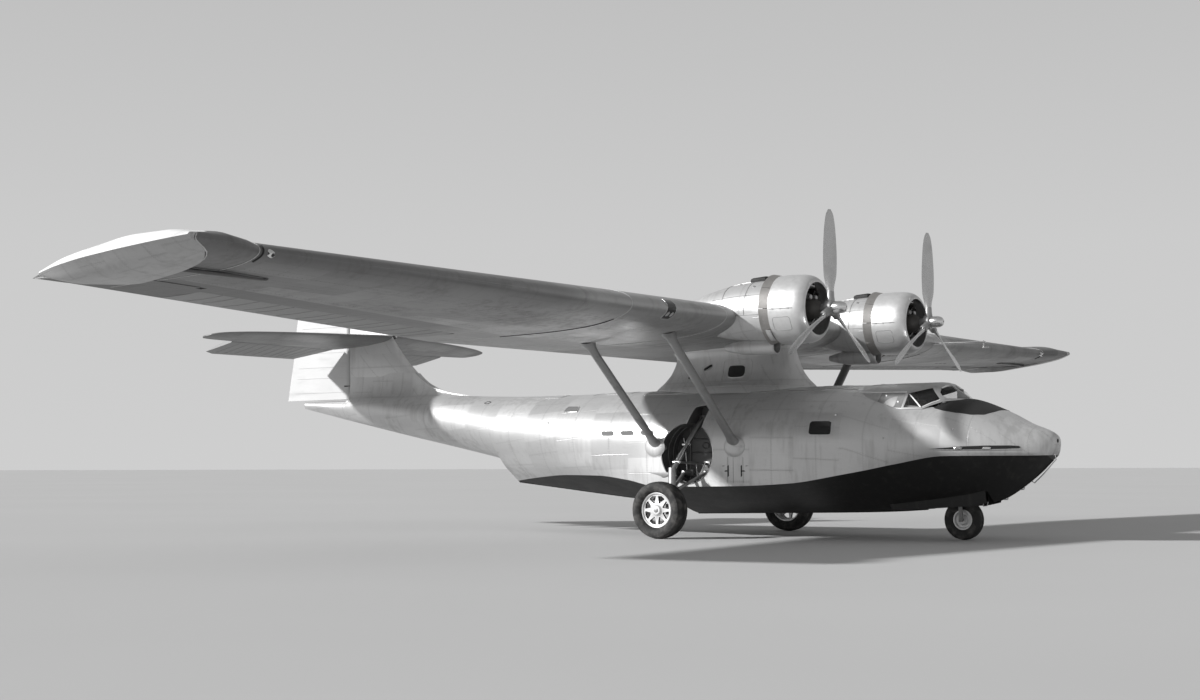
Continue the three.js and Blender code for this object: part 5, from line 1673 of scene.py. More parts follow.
    def floats(self) -> None:
        """Wing-tip floats and the frames that carry them."""
        rings, stations = [], np.linspace(-1.79, 1.345, 60)
        for x in stations:
            keel, mid, top, low, deck = self.float_table.pick(x, "yKeel zKeel zTop zLow deck")
            keys = np.array([deck, deck + (keel - deck) * 0.62, keel])
            out = np.linspace(deck, keel, 12)
            up, down = (glide(keys, np.array([end, end + (mid - end) * 0.18, mid]), out)
                        for end in (top, low))
            rings.append([(x, deck, mid), *[(x, a, b) for a, b in zip(out, up)],
                          *[(x, a, b) for a, b in zip(out[-2::-1], down[-2::-1])]])
        draft = Draft().loft(rings, 12, stations)
        covers, plate = Draft(), ((-0.09, 0.007), (-0.084, 0.012), (0.084, 0.012), (0.09, 0.007))
        for x in self.arms:
            covers.loft([[(x + a, y, self.under(y, x + a) - b) for a, b in plate]
                         for y in np.linspace(13.45, 14.88, 16)])
        for side, sign in SIDES:
            made = draft.on(sign).build(f"float_shell_{side}", FLOAT_SKIN, FLOAT_TOP_PAINTED_LIGHT, sharp=28)
            # Painted light: upward faces take the lighter finish, the rest the darker.
            for face in made.data.polygons:
                face.material_index = int(face.normal.z > 0.1)
            mount(made, f"float_{side}", "silver_skin", f"float_{side}")
            arm = retrace(f"float_frame_{side}", f"float_arms_{side}", STEEL, 0.006)
            arm.data.materials[0] = WING_SKIN.material()
            mount(arm, f"float_{side}", "gear_steel", f"float_frame_{side}")
            covers.on(sign).fit(f"float_arm_covers_{side}", "silver_skin", WING_SKIN, body=f"float_{side}")

    def struts(self) -> None:
        """Streamlined struts with flared feet."""
        section = [(0.5, 0), (0.47, 0.17), (0.4, 0.31), (0.27, 0.44), (0.1, 0.5), (-0.1, 0.46),
                   (-0.28, 0.32), (-0.42, 0.15), (-0.5, 0.03)]
        places = {"front": ((1.075, 1.5, 1.8), (0.965, 3.7, 3.84)),
                  "rear": ((-0.74, 1.5, 1.78), (-0.86, 3.7, 3.73))}
        for name, (foot, top) in places.items():
            a, b = np.array(foot), np.array(top)
            along = (b - a) / np.linalg.norm(b - a)
            start, length = a - along * 0.16, np.linalg.norm(b - a) + 0.32
            side = np.cross(along, [1, 0, 0])
            side /= np.linalg.norm(side)
            scale = Table("s k", (0, 2.2), (0.15, 1.9), (0.33, 1.15), (0.52, 1), (length - 0.52, 1),
                          (length - 0.33, 1.15), (length - 0.16, 1.6), (length, 1.8))
            stations = [*np.linspace(0.1, 0.56, 14), *np.linspace(0.6, length - 0.56, 8),
                        *np.linspace(length - 0.5, length - 0.1, 10)]
            wide, thick = np.array([0.21, 0, 0]), side * 0.095
            rings = [[start + along * s + (wide * f + thick * o) * scale.read("k", s)
                      for f, o in mirrored(section, 0)] for s in stations]
            draft = Draft().loft(rings, 0, stations)
            draft.fit_pair(name + "_strut_{}", "dark_skin", DARK_SKIN, node=f"strut_{name}_{{}}")

    def on_pylon(self, side: int, x: float, z: float, out: float) -> np.ndarray:
        """Point on the pylon.

        Args:
            side: 1 for port, -1 for starboard.
            x: Station.
            z: Height.
            out: Distance outside the skin.

        Returns:
            The point.
        """
        front, rear, half = self.pylon_table.pick(z, "xFront xRear half")
        f = 1 - max(1 - (x - rear) / (front - rear), 0.0) ** (1 / 1.6)
        return np.array([x, side * (half * sin(pi * f ** 0.75) + out), z])

    def pylon(self) -> None:
        """Pylon between hull and wing, flared at both ends."""
        rings, heights = [], np.linspace(2.84, 4.0, 36)
        for z in heights:
            front, rear, half = self.pylon_table.pick(z, "xFront xRear half")
            port = [(rear + (front - rear) * (1 - (1 - a) ** 1.6), half * sin(pi * a ** 0.75), z)
                    for a in np.linspace(1, 0, 25)]
            rings.append(mirrored(port, 0, -2))
        Draft().loft(rings, 0, heights).fit("pylon_skin", "silver_skin", FAIR_SKIN, node="pylon")
        glass, rims, dark, heads = Draft(), Draft(), Draft(), []
        for side in (-1, 1):
            on = partial(self.on_pylon, side)
            window = rounded(about(0.51, 3.29, 0.2, 0.13), 6, 0.3)
            # Painted shade: the pylon pane is opaque dark glass.
            glass.patch(window, on, ((1, -0.01), (1, 0.004)))
            rims.rim(window, on, 0.012, out=0.004)
            panel = rounded(oblong(0.2, 3.07, 0.84, 3.53), 5, 0.15)
            rims.rim(panel, on, 0.005)
            heads.append(([on(u, v, 0.001) for u, v in trace(panel, closed=True)], (0, side, 0), 1.0))
            for x, z in ((-0.2, 3.38), (-0.6, 3.22)):
                vent = ((-0.09, -0.03, 0.0), (-0.06, -0.02, 0.03), (0.05, 0.03, 0.03), (0.09, 0.05, 0.0))
                dark.tube([on(x + u, z + w, out) for u, w, out in vent], 0.022, 8)
            rims.bead([(1.9, 2.98), (0.4, 2.99), (-1.5, 2.98)], on, 0.008)
        glass.fit("pylon_panes", "window_glass", SHADE_PAINTED_GLASS)
        rims.fit("pylon_frames", "silver_skin", FAIR_SKIN)
        dark.fit("pylon_vents", "dark_skin", MATT_BLACK_AND_PAINTED_SHADE)
        mount(RIVETS.run("pylon_rivets", heads, FAIR_SKIN), "airframe", "silver_skin")

    def on_skin(self, side: int, y: float, s: float, out: float) -> np.ndarray:
        """Point on the skin, by its way round the leading edge.

        Args:
            side: 1 for port, -1 for starboard.
            y: Distance out.
            s: Root of the share of the chord aft, below zero under the wing.
            out: Distance outside the skin.

        Returns:
            The point.
        """
        here = self.surface(side * y, s * s, s > 0)
        beside = self.surface(side * y, (abs(s) + 0.01) ** 2, s > 0) - here
        away = np.cross([0, 1.0, 0], beside) * (1 if s > 0 else -1)
        return here + out * away / np.linalg.norm(away)

    def trim(self) -> None:
        """Landing lights, hoisting pad, panel lines, filler caps and end fairings of the wing."""
        lens, rims, dark, ends, pad, heads = Draft(), Draft(), Draft(), Draft(), Draft(), []
        for side in (-1, 1):
            on = partial(self.on_skin, side)
            light = rounded(oblong(4.72, -0.21, 5.0, 0.16), 4, 0.15)
            # Painted shade: the lamp lens is opaque dark glass.
            lens.patch(light, on, ((1, -0.01), (1, 0.004)), rings=14, step=0.02)
            for y in (4.79, 4.92):
                bowl = oval(y, -0.12, 0.045, 0.042, 20)
                lens.patch(bowl, on, ((1, 0.0), (1, 0.0065), (0.86, 0.008)), slot=1, step=0.02)
            rims.rim(light, on, 0.009)
            for y, radius in ((2.98, 0.003), (CENTRE_HALF, 0.011), (14.27, 0.003)):
                rims.bead([(y, -0.97), (y, 0.97)], on, 0.006)
                dark.bead([(y + 0.02, -0.8), (y + 0.02, -0.3)], on, radius)
                for gap in (-0.03, 0.03):
                    heads.append(rivets(on, trace([(y + gap, -0.95), (y + gap, 0.95)], 0.05)))
            for s in (-0.72, -0.42, 0.4, 0.74):
                heads.append(rivets(on, trace([(3.05, s), (14.2, s)], 0.3)))
            for y in (3.6, 4.2, 7.4):
                rims.patch(oval(y, 0.52, 0.09, 0.014), on, ((1, -0.01), (1, 0.006)))
            for y in (9.9, 10.15, 10.4) if side > 0 else ():
                dark.patch(oval(y, -0.6, 0.05, 0.009, 16), on)
            start, rows = WING_END + 0.0003, []
            for share in np.linspace(0, 1, 9):
                row, blend = [], share * share * (3 - 2 * share)
                for x, _, z in self.ring(WING_END):
                    deck, low, high = self.float_table.pick(x, "deck zLow zTop")
                    y = start + (deck - 0.016 - start) * share
                    row.append((x, side * y, z + (min(max(z, low), high) - z) * blend))
                rows.append(row)
            ends.loft(rows, 25)
            rims.tube([np.array(p) + [0, -side * 0.012, 0] for p in rows[-1][24:-2]], 0.011, 6)
            lamp = on(14.08, -0.05, 0.0)
            away = on(14.08, -0.05, 0.1) - lamp
            lens.lathe([(-0.05, 0.05), (0.03, 0.052), (0.055, 0.046), (0.066, 0.036), (0.066, 0)], lamp,
                       away, 24, slot=1)
            lens.lathe([(0.06, 0.03), (0.072, 0.026), (0.08, 0.014), (0.082, 0)], lamp, away, 16)
            dark.tube([on(14.2, s, 0.002) for s in np.linspace(-0.26, 0.12, 14)], 0.014, 6)
        outline = rounded(about(0, 0, 0.18, 0.13), 4, 0.08)
        pad.loft([[(u * 0.99 + w * 0.136 - 0.057819, v, 4.426332 + u * 0.136 - w * 0.99) for u, v in outline]
                  for w in (0.02, 0.0)])
        lens.fit("landing_lights", "window_glass", SHADE_PAINTED_GLASS, BRIGHT)
        rims.fit("wing_frames", "silver_skin", FAIR_SKIN)
        dark.fit("wing_drains", "dark_skin", MATT_BLACK_AND_PAINTED_SHADE)
        ends.fit("wing_end_fairings", "silver_skin", WING_SKIN)
        pad.fit("hoisting_pad", "gear_steel", STEEL)
        mount(RIVETS.run("wing_rivets", heads, WING_SKIN), "airframe", "silver_skin")

    def build(self) -> None:
        """Builds the wing group."""
        self.panels()
        self.ailerons()
        self.floats()
        self.struts()
        self.pylon()
        self.trim()


def moving_section(radius: float, chord: float) -> list[tuple[float, float]]:
    """Section of a hinged surface about its hinge, from the trailing edge over the top.

    Args:
        radius: Radius of the nose.
        chord: Distance from hinge to trailing edge.

    Returns:
        Distances forward and heights.
    """
    f = np.linspace(0, 1, 9)[:-1]
    flank = glide(np.array([0.0, 0.55, 1.0]), np.array([0.005, radius * 0.66, radius]), f)
    upper = [(-chord * (1 - a), b) for a, b in zip(f, flank)]
    bow = [(radius * cos(t), radius * sin(t)) for t in np.linspace(pi / 2, -pi / 2, 13)]
    return [*upper, *bow, *[(a, -b) for a, b in upper[::-1]]]


# Tail group


@dataclass
class Tail:
    """Fin, tailplane, rudder and elevators."""

    post: float = -10.34
    rudder_x: float = -10.48
    elevator: tuple[float, float] = (-10.712, 4.202)

    def fin(self) -> None:
        """Fin with its swept leading edge."""
        table = Table(
            "z xLead thick", (2.7, -6.4, 0.05), (2.96, -6.6, 0.06), (3.07, -7.3, 0.1), (3.22, -7.78, 0.16),
            (3.42, -8.14, 0.2), (3.67, -8.44, 0.225), (4.0, -8.77, 0.235), (4.4, -9.09, 0.235),
            (5.0, -9.53, 0.22), (5.5, -9.83, 0.19), (5.9, -10.08, 0.15), (6.09, -10.27, 0.11))
        shape = Table("f t", (0, 0), (0.02, 0.24), (0.06, 0.42), (0.25, 0.8), (0.6, 1.0), (1.0, 0.98))
        f = (1 - np.cos(np.linspace(0, pi / 2, 18)))
        rings, heights = [], np.linspace(2.95, 6.09, 50)
        for z in heights:
            lead, half = table.read("xLead", z), table.read("thick", z) / 2
            port = [(lead - a * (lead - self.post), half * w, z) for a, w in zip(f, shape.read("t", f))]
            rings.append(mirrored(port, 0))
        draft = Draft().loft(rings, 0, heights)
        for z in (3.3, 5.15):
            draft.tube([(self.rudder_x, 0, z - 0.012), (self.rudder_x, 0, z + 0.012)], 0.03, 16, slot=1)
            draft.block((self.rudder_x, -0.024, z - 0.012), (self.post + 0.02, 0.024, z + 0.012), slot=1)
        draft.fit("fin_skin", "silver_skin", FAIR_SKIN, STEEL, node="fin")

    def fillet(self, hull: Hull) -> None:
        """Hollow curve that leads the tail cone's sides into the fin.

        Args:
            hull: Hull whose tail cone it stands on.
        """
        lead = np.array([(2.7, -6.4), (2.96, -6.6), (3.07, -7.3), (3.22, -7.78), (3.42, -8.14),
                         (3.67, -8.44), (4.0, -8.77), (4.4, -9.08)])
        rings, stations = [], np.linspace(-10.33, -6.95, 40)
        for x in stations:
            low, crown, wide = hull.tail.pick(x, "zWaist zCrown yWaist")
            top = float(glide(lead[::-1, 1], lead[::-1, 0], np.array([x]))[0]) if x > -9.08 else 4.4
            high = max(min(crown + 0.5, top - 0.03), crown + 0.004)
            reach = min((top - crown) / 0.5, 1.0)
            angle = radians(12 + 36 * reach)
            foot = np.array([wide * sin(angle), low + (crown - low) * cos(angle) - 0.004])
            head = np.array([0.03 + 0.07 * reach, high])
            bend = np.array([head[0] + 0.02, foot[1] + 0.3 * (crown - foot[1]) + 0.02])
            t = np.linspace(0, 1, 12)[:, None]
            curve = (1 - t) ** 2 * foot + 2 * t * (1 - t) * bend + t * t * head
            rings.append([*mirrored([(x, y, z) for y, z in curve]), (x, 0, low + 0.02)])
        Draft().loft(rings, 11, stations).fit("fin_fillet", "silver_skin", FAIR_SKIN)

    def tailplane(self) -> None:
        """Tailplane halves."""
        table = Table(
            "y xLead xTrail thick", (4.6, -10.23, -10.47, 0.026), (4.5, -10.04, -10.61, 0.056),
            (4.15, -9.83, -10.64, 0.084), (3.6, -9.64, -10.64, 0.106), (0.352, -9.04, -10.64, 0.18))
        shape = Table("f t", (0, 0), (0.015, 0.26), (0.05, 0.45), (0.22, 0.88), (0.5, 1.0), (1.0, 0.6))
        f = 1 - np.cos(np.linspace(0, pi / 2, 14))
        rings, outs = [], [0.08, 0.352, *np.linspace(0.6, 4.1, 16), *np.linspace(4.2, 4.6, 9)]
        for y in outs:
            lead, trail, half = table.pick(max(y, 0.352), "xLead xTrail thick")
            if y < 0.35:
                trail = -10.33
            upper = [(lead - a * (lead - trail), half / 2 * w) for a, w in zip(f, shape.read("t", f))]
            rings.append([(x, y, 4.42 + (x + 9.0) * 0.126 + h) for x, h in mirrored(upper, 0)])
        draft = Draft().loft(rings, 0, outs)
        # The tailplane takes the darker skin: painted shade.
        draft.fit_pair("tailplane_skin_{}", "silver_skin", TAILPLANE_SHADE_PAINTED_SKIN, node="tailplane_{}")

    def surfaces(self) -> None:
        """Fabric rudder and elevators with rib tapes."""
        table = Table("z xTrail nose", (2.985, -12.47, 0.11), (3.4, -12.4, 0.114), (4.0, -12.29, 0.116),
                      (4.9, -12.18, 0.108), (5.5, -11.99, 0.092), (5.88, -11.66, 0.074),
                      (6.08, -11.23, 0.056), (6.15, -10.83, 0.04))
        heights = [*np.linspace(2.985, 5.5, 30), *np.linspace(5.58, 6.15, 14)]
        rings = [
            [(self.rudder_x + f, u, z) for f, u in moving_section(table.read("nose", z),
            self.rudder_x - table.read("xTrail", z))] for z in heights]
        draft = Draft().loft(rings, 14, heights)
        for z in np.arange(3.2, 5.95, 0.3):
            k = int(np.argmin(np.abs(np.array(heights) - z)))
            draft.tapes(rings[k], 0.006)
        rudder = draft.build("rudder_cloth", CLOTH)
        notch = Draft()
        for z in (3.3, 5.15):
            notch.block((self.rudder_x - 0.046, -0.3, z - 0.013), (self.rudder_x + 0.15, 0.3, z + 0.013))
        # The hinge notches' faces take the near-black finish: painted shade.
        mount(carve(rudder, notch, PAINTED_HOLLOW_SHADE), "rudder", "control_fabric", "rudder")
        hx, hz = self.elevator
        c, s = cos(radians(15)), sin(radians(15))
        rings = []
        outs = np.array([0.345, *np.linspace(0.6, 3.3, 20), 3.4, 3.5, 3.59])
        for y in outs:
            chord = float(np.interp(y, (0.345, 3.3, 3.59), (0.945, 0.935, 0.815)))
            slant = float(np.interp(y, (0.345, 1.6), (0.4, 0.0)))
            rings.append([(hx + f * c - u * s, y + max(0.0, -f) * slant, hz + f * s + u * c)
                          for f, u in moving_section(0.047, chord)])
        draft = Draft().loft(rings, 14, outs)
        for k in range(2, len(outs) - 3, 2):
            draft.tapes(rings[k], 0.006)
        # The elevators take the darker cloth: painted shade.
        draft.fit_pair("elevator_cloth_{}", "control_fabric", SHADE_PAINTED_CLOTH, node="elevator_{}",
                       body="elevators")

    def build(self) -> None:
        """Builds the tail group."""
        self.fin()
        self.fillet(Hull())
        self.tailplane()
        self.surfaces()


# Engines


@dataclass
class Engine:
    """One engine with its nacelle, cowl, flaps, cooler and propeller."""

    side: str
    sign: int
    shell: Table = Table(
        "x r z", (0.74, 0.352, 4.29), (1.01, 0.42, 4.3), (1.35, 0.495, 4.3), (1.68, 0.545, 4.3),
        (1.95, 0.568, 4.3), (2.34, 0.585, 4.3), (2.536, 0.645, 4.3), (2.8, 0.65, 4.3), (3.0, 0.642, 4.3))

    def centre(self, x: float = 0.0) -> np.ndarray:
        """Point on the engine's axis."""
        return np.array([x, self.sign * ENGINE_OUT, ENGINE_UP])

    def hoop(self, x: float, radius: float, turns: Iterable[float]) -> list[np.ndarray]:
        """Points of a circle about the engine's axis."""
        return [self.centre(x) + radius * np.array([0, sin(t), cos(t)]) for t in turns]

    def on_shell(self, x: float, turn: float, out: float) -> np.ndarray:
        """Point on the nacelle and the cowl.

        Args:
            x: Station.
            turn: Angle from the top towards the wing tip, in radians.
            out: Distance outside the skin.

        Returns:
            The point.
        """
        radius, z = self.shell.pick(x, "r z")
        r = radius + out
        return np.array([x, self.sign * (ENGINE_OUT + r * sin(turn)), z + r * cos(turn)])

    def off_shell(self, x: float, turn: float, out: float) -> np.ndarray:
        """Point on a plate that stands off behind the cowl."""
        return self.on_shell(x, turn, out + 0.02 + max(2.53 - x, 0) * 0.3)

    def scoop(self, plan: Iterable[Point], power: float, steps: int) -> list[list[np.ndarray]]:
        """Rings of a scoop that lies on the nacelle.

        Args:
            plan: Station, height and half width in radians of each ring.
            power: Roundness of the ring, less for a squarer one.
            steps: Points of the outer side.

        Returns:
            The rings, from the rear.
        """
        rows = []
        for x, high, wide in plan:
            arch = [self.on_shell(x, wide * cos(a), high * max(sin(a), 0) ** power)
                    for a in np.linspace(pi, 0, steps)]
            rows.append([*arch, *[self.on_shell(x, wide * cos(a), -0.03)
                                  for a in np.linspace(0, pi, 6)[1:-1]]])
        return rows

    def nacelle(self) -> None:
        """Nacelle behind the firewall."""
        table = Table(
            "x radius z", (2.4, 0.588, 4.3), (1.95, 0.568, 4.3), (1.68, 0.545, 4.3), (1.35, 0.495, 4.3),
            (1.01, 0.42, 4.3), (0.74, 0.352, 4.29), (0.3, 0.245, 4.24), (0.0, 0.15, 4.15))
        rings, stations = [], np.linspace(0.3, 2.4, 30)
        for x in stations:
            r, z = table.pick(x, "radius z")
            rings.append([(x, self.sign * ENGINE_OUT + v, w)
                          for v, w in oval(0, z, r, r, pi / 2 - np.arange(56) * pi / 28)])
        draft = Draft().loft(rings, 0, stations)
        draft.fit(f"nacelle_skin_{self.side}", "silver_skin", FAIR_SKIN, node=f"nacelle_{self.side}")

    def cowl(self) -> None:
        """Polished cowl ring and the flaps behind it."""
        inner = glide(np.arange(5.0), np.array([0.6, 0.6, 0.572, 0.53, 0.49]), np.linspace(0, 4, 17))
        xs = glide(np.arange(5.0), np.array([2.535, 3.02, 3.13, 3.2, 3.235]), np.linspace(0, 4, 17))
        lip = [(3.2455, 0.4905), (3.25, 0.5), (3.249, 0.512), (3.238, 0.54), (3.222, 0.56), (3.2, 0.578),
               (3.168, 0.6), (3.13, 0.618), (3.07, 0.633), (3.0, 0.642), (2.9, 0.647), (2.8, 0.65),
               (2.66, 0.649), (2.535, 0.645)]
        profile = [*zip(xs, inner), *lip, (2.535, 0.6)]
        cowl, draft = Draft().lathe(profile, self.centre(), sides=96), Draft()
        cowl.fit(f"cowl_ring_{self.side}", "silver_skin", COWL_SKIN, node=f"cowl_{self.side}", sharp=50)
        plate = [(2.5347, 0.624), (2.5347, 0.643), (2.46, 0.658), (2.358, 0.68), (2.354, 0.666),
                 (2.45, 0.645), (2.515, 0.624)]
        for k in range(9):
            low = -163 + k * 36.4
            draft.lathe(plate, self.centre(), sides=10, sweep=(low, low + 35.6))
        # The flaps take the darker finish: painted shade under the cowl lip.
        draft.fit(f"cowl_gills_{self.side}", "dark_skin", FLAP_SHADE_PAINTED_SKIN, node=f"cowl_flaps_{self.side}")

    def cooler(self) -> None:
        """Oil cooler scoop under the nacelle."""
        profile = [(1.25, 0), (1.25, 0.055), (1.4, 0.098), (1.6, 0.134), (1.8, 0.154), (2.0, 0.163),
                   (2.2, 0.1635), (2.33, 0.161), (2.362, 0.156), (2.372, 0.148), (2.372, 0.139),
                   (2.34, 0.13), (2.12, 0.128)]
        at = (0, self.sign * ENGINE_OUT, 3.64)
        draft = Draft().lathe(profile, at, sides=40)
        # Near-black disc deep in the scoop's mouth: painted shade of its inside.
        draft.lathe([(2.12, 0.128), (2.12, 0)], at, sides=40, slot=1)
        draft.fit(f"oil_scoop_{self.side}", "silver_skin", FAIR_SKIN, PAINTED_HOLLOW_SHADE, node=f"oil_cooler_{self.side}")

    def cylinders(self) -> None:
        """Two-row radial engine with finned cylinders."""
        at = self.centre()
        draft = Draft().lathe([(2.4003, 0), (2.4003, 0.33), (2.5, 0.33), (2.52, 0.27), (2.76, 0.26),
                               (2.78, 0.24), (3.0, 0.232), (3.03, 0.225), (3.06, 0.21),
                               (3.12, 0.195), (3.2, 0.18), (3.25, 0.15), (3.3, 0.11), (3.34, 0.095),
                               (3.34, 0)], at, sides=40)
        fins = []
        for row, x in enumerate((2.9, 2.64)):
            for i in range(7):
                t = 2 * pi * (i + row / 2) / 7
                out = np.array([0, sin(t), cos(t)])
                base = self.centre(x)
                draft.lathe([(0.2, 0.062), (0.595, 0.062), (0.595, 0)], base, out, 20)
                draft.lathe([(0.52, 0), (0.52, 0.09), (0.58, 0.075), (0.592, 0.06), (0.592, 0)],
                            base, out, 20)
                s = np.linspace(0.3, 0.56, 3)
                fins.append(([base + out * a for a in s], out, [1.0, 1.0, 1.0]))
                side = np.cross(out, [1, 0, 0])
                for lean in (-1, 1):
                    foot = base + np.array([0.1, 0, 0]) + out * 0.22 + side * 0.02 * lean
                    top = base + np.array([0.07, 0, 0]) + out * 0.55 + side * 0.05 * lean
                    draft.tube([foot, top], 0.011, 8, slot=1)
                    draft.lathe([(-0.03, 0), (-0.03, 0.026), (0.03, 0.026), (0.035, 0.018), (0.035, 0)],
                                top, sides=12)
                draft.tube([self.centre(3.05) + out * 0.27 + side * 0.03, base + [0.09, 0, 0] + out * 0.4
                            + side * 0.1, base + [0.02, 0, 0] + out * 0.54 + side * 0.08], 0.006, 6)
        draft.tube(self.hoop(3.05, 0.27, np.arange(48) * pi / 24), 0.015, 8, slot=1, closed=True)
        # Duct at the top front: its ring takes the light bar finish as painted light on a face the sun
        # leaves in shade, and the matt black face inside is painted shade of the opening.
        for low, high, slot in ((0.425, 0.505, 2), (0.445, 0.485, 3)):
            front = 3.12 + 0.002 * (slot - 2)
            draft.lathe([(3.0, low), (front, low), (front, high), (3.0, high), (3.0, low)], at, sides=8,
                        sweep=(-19 + 2 * slot, 19 - 2 * slot), slot=slot)
        for place in self.hoop(3.1, 0.235, (-0.45, 0.45)):
            draft.lathe([(-0.05, 0), (-0.05, 0.05), (0.05, 0.05), (0.062, 0.038), (0.062, 0)], place,
                        sides=20, slot=1)
        draft.fit(f"engine_case_{self.side}", "engine_iron", IRON, STEEL, BARS_AND_PAINTED_DUCT_LIGHT, MATT_BLACK_AND_PAINTED_SHADE,
                  node=f"engine_{self.side}")
        discs = Row(Head.DISC, 0.0175, (0, 0.084, 0.005), 20).run(f"cylinder_fins_{self.side}", fins, IRON)
        mount(discs, "airframe", "engine_iron")

    def propeller(self) -> None:
        """Three-blade propeller with a polished dome."""
        table = Table("r chord thick pitch", (0.1, 0.13, 0.128, 60), (0.33, 0.14, 0.11, 52),
                      (0.62, 0.25, 0.056, 42), (1.05, 0.29, 0.034, 31), (1.45, 0.265, 0.022, 24),
                      (1.72, 0.19, 0.014, 20), (1.83, 0.07, 0.008, 19))
        section = [(0.5, 0), (0.44, 0.2), (0.25, 0.42), (0.08, 0.48), (-0.1, 0.5), (-0.32, 0.34),
                   (-0.5, 0.05), (-0.5, -0.05), (-0.3, -0.2), (-0.1, -0.3), (0.1, -0.3), (0.25, -0.25),
                   (0.42, -0.12)]
        draft = Draft()
        radii = [*np.linspace(0.1, 1.6, 26), 1.66, 1.72, 1.76, 1.8, 1.82, 1.83]
        for blade in range(3):
            turn = 2 * pi / 3 * blade
            rings = []
            for r in radii:
                chord, thick, pitch = table.pick(r, "chord thick pitch")
                p, ring = radians(pitch), []
                for f, o in section:
                    a, b = f * chord, o * thick
                    y = a * cos(p) - b * sin(p)
                    ring.append((3.5 + a * sin(p) + b * cos(p), self.sign * ENGINE_OUT + y * cos(turn) - r
                                 * sin(turn), ENGINE_UP + y * sin(turn) + r * cos(turn)))
                rings.append(ring)
            draft.loft(rings, 0, radii)
        at = self.centre()
        draft.lathe([(3.3405, 0), (3.3405, 0.09), (3.42, 0.092), (3.427, 0.13), (3.436, 0.148), (3.45, 0.15),
                     (3.55, 0.15), (3.562, 0.146), (3.575, 0.12), (3.575, 0)], at, sides=40, slot=1)
        draft.lathe([(3.57, 0), (3.57, 0.112), (3.6, 0.117), (3.69, 0.117), (3.735, 0.112), (3.775, 0.1),
                     (3.805, 0.08), (3.824, 0.055), (3.833, 0.03), (3.836, 0.018), (3.81, 0.016), (3.81, 0)],
                    at, sides=40, slot=2)
        for k in range(3):
            t = 2 * pi / 3 * k
            draft.lathe([(0.09, 0.085), (0.16, 0.082), (0.19, 0.076), (0.3, 0.07), (0.31, 0.05)],
                        self.centre(3.5), (0, -sin(t), cos(t)), 24, slot=1)
        name = f"propeller_{self.side}"
        draft.fit(f"propeller_metal_{self.side}", "prop_metal", PROP, STEEL, DOME, node=name, body=name)

    def trim(self) -> None:
        """Panel lines, latches and intake scoop of the nacelle and cowl."""
        lines, scoop, latches, heads, on = Draft(), Draft(), Draft(), [], self.on_shell
        for x, reach in ((1.98, 1.75), (1.45, 1.22)):
            lines.bead([(x, -reach), (x, reach)], on, 0.006)
            heads.append(rivets(on, [(x + 0.03, a) for a in np.linspace(-reach, reach, 40)]))
        for turn in (1.08, -1.08, 1.75, -1.75):
            lines.bead([(1.2, turn), (2.3, turn)], on, 0.005)
        for turn in (1.606, -1.606, pi):
            lines.bead([(2.56, turn), (3.05, turn)], on, 0.006)
            for x in (2.64, 2.8, 2.96):
                latches.patch(about(x, turn, 0.022, 0.019), on, ((1, 0), (1, 0.005), (0.85, 0.009)))
        for turn in (2.06, -2.06):
            lines.rim(rounded(about(2.8, turn, 0.18, 0.21), 3, 0.15), on, 0.0045)
        for x, turn in ((2.1, 0.7), (2.1, -0.7), (1.7, 0.35), (1.7, -0.35)):
            latches.patch(about(x, turn, 0.03, 0.044), on, ((1, 0), (1, 0.006), (0.85, 0.01)))
        scoop.loft(self.scoop(((1.4, 0.004, 0.07), (1.5, 0.02, 0.122), (1.7, 0.028, 0.157),
                               (1.88, 0.03, 0.175), (1.9, 0.03, 0.175)), 0.6, 15))
        scoop.loft(self.scoop(((1.86, 0.045, 0.157), (1.875, 0.07, 0.192), (1.91, 0.08, 0.21),
                               (2.16, 0.088, 0.218), (2.2, 0.08, 0.21)), 0.3, 17), slot=1)
        lines.fit(f"nacelle_seams_{self.side}", "dark_skin", DARK_SKIN)
        latches.fit(f"nacelle_latches_{self.side}", "gear_steel", STEEL)
        # The turned-out lower flap takes the lighter skin while the other flaps take the darker one: painted
        # light on this flap.
        scoop.patch(oblong(2.37, 2.217, 2.53, 2.635), self.off_shell, ((1, -0.004), (1, 0.004)))
        scoop.fit(f"air_scoop_{self.side}", "silver_skin", FAIR_SKIN, MATT_BLACK_AND_PAINTED_SHADE)
        mount(RIVETS.run(f"nacelle_rivets_{self.side}", heads, FAIR_SKIN), "airframe", "silver_skin")
        turns = np.arange(33) * pi / 16
        rows = [(self.hoop(3.062, 0.19, turns), (1, 0, 0), 1.0),
                (self.hoop(3.202, 0.165, turns), (1, 0, 0), 0.8)]
        mount(BOLTS.run(f"engine_bolts_{self.side}", rows, BRIGHT), "airframe", "engine_iron")

    def build(self) -> None:
        """Builds one engine."""
        self.nacelle()
        self.trim()
        self.cowl()
        self.cooler()
        self.cylinders()
        self.propeller()


# Landing gear


